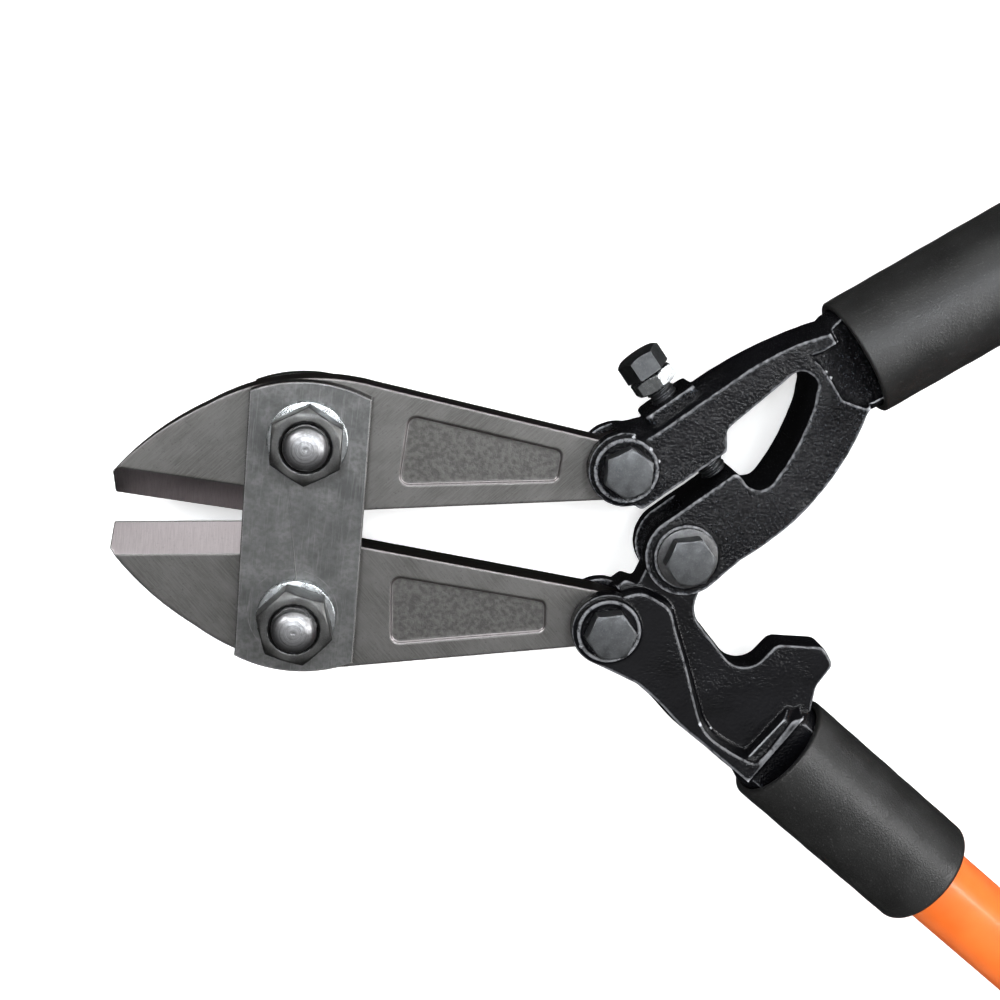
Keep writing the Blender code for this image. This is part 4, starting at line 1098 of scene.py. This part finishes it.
def softbox(name, place, target, size, radiance, mirrored_in_metal=True, colour=(1, 1, 1)):
    """A lit rectangle. radiance is its brightness as seen, whatever its size."""
    light = bpy.data.lights.new(name, "AREA")
    light.shape = "RECTANGLE"
    light.size, light.size_y = size
    light.energy = radiance * math.pi * size[0] * size[1]
    light.color = colour
    lamp = bpy.data.objects.new(name, light)
    bpy.context.scene.collection.objects.link(lamp)
    lamp.location = place
    lamp.visible_glossy = mirrored_in_metal
    aim = Vector(target) - Vector(place)
    lamp.rotation_euler = aim.to_track_quat("-Z", "Y").to_euler()


def build_floor():
    floor = bpy.data.meshes.new("floor")
    half, level = BACKDROP_RADIUS, -0.05 * MM
    corners = [(-half, -half, level), (half, -half, level), (half, half, level), (-half, half, level)]
    floor.from_pydata(corners, [], [(0, 1, 2, 3)])
    ground = bpy.data.objects.new("floor", floor)
    floor.materials.append(floor_finish())
    bpy.context.scene.collection.objects.link(ground)
    ground.visible_glossy = False


def build_backdrop():
    """A wide pale dome behind the floor, seen from low angles. It lights nothing and nothing mirrors it."""
    dome = bpy.data.meshes.new("backdrop")
    shape = bmesh.new()
    bmesh.ops.create_uvsphere(shape, u_segments=64, v_segments=32, radius=BACKDROP_RADIUS)
    shape.to_mesh(dome)
    shape.free()
    backdrop = bpy.data.objects.new("backdrop", dome)
    dome.materials.append(backdrop_finish())
    bpy.context.scene.collection.objects.link(backdrop)
    backdrop.visible_diffuse = False
    backdrop.visible_glossy = False
    backdrop.visible_shadow = False


def build_surroundings():
    """A dim room, brighter overhead than at its sides, and dark below."""
    world = bpy.data.worlds.new("studio")
    bpy.context.scene.world = world
    world.use_nodes = True
    tree = world.node_tree
    back = tree.nodes["Background"]
    place = tree.nodes.new("ShaderNodeTexCoord")
    split = tree.nodes.new("ShaderNodeSeparateXYZ")
    tree.links.new(place.outputs["Generated"], split.inputs[0])
    shade = tree.nodes.new("ShaderNodeValToRGB")
    tree.links.new(split.outputs[2], shade.inputs[0])
    stops = shade.color_ramp.elements
    stops[0].position, stops[0].color = 0.05, (0.01, 0.01, 0.01, 1)
    stops[1].position, stops[1].color = 1.0, (0.55, 0.55, 0.555, 1)
    for height, brightness in ((0.55, 0.04), (0.8, 0.18)):
        stops.new(height).color = (brightness, brightness, brightness, 1)
    tree.links.new(shade.outputs[0], back.inputs["Color"])
    back.inputs["Strength"].default_value = 1.0


def build_studio():
    build_floor()
    build_backdrop()
    build_surroundings()
    softbox("fill", (0.1, 0.0, 2.0), (0.1, 0, 0), (7.0, 7.0), 1.0, mirrored_in_metal=False)
    softbox("key", (0.25, 1.15, 0.78), (0.05, 0, 0), (1.3, 0.5), 1.6)
    softbox("side", (1.05, 0.1, 1.0), (0.15, 0, 0), (0.4, 0.4), 12.0)
    softbox("low_side", (1.1, 0.75, 0.3), (0.12, 0, 0), (0.3, 0.3), 10.0)
    softbox("right_glint", (0.34, 0.36, 1.05), (0.12, 0, 0), (0.14, 0.14), 44, colour=(0.92, 0.96, 1.0))
    softbox("left_glint", (-0.12, 0.32, 1.15), (0.12, 0, 0), (0.14, 0.14), 44, colour=(0.92, 0.96, 1.0))
    softbox("edge", (-0.7, 0.6, 0.9), (0.12, 0, 0), (0.3, 0.3), 12)


def build_camera():
    roll = Matrix.Rotation(-0.092, 3, "Z")
    tip = Matrix.Rotation(0.201, 3, "X")
    swing = Matrix.Rotation(0.092, 3, "Y")
    turn = roll @ tip @ swing
    lens = bpy.data.cameras.new("camera")
    lens.sensor_width = 36.0
    lens.lens = 54.67
    lens.clip_start = 0.01
    camera = bpy.data.objects.new("camera", lens)
    bpy.context.scene.collection.objects.link(camera)
    camera.matrix_world = Matrix.Translation((0.01775, 0.07967, 0.49531)) @ turn.transposed().to_4x4()
    bpy.context.scene.camera = camera


build_tool()
build_studio()
build_camera()
bpy.context.scene.view_settings.view_transform = "Standard"
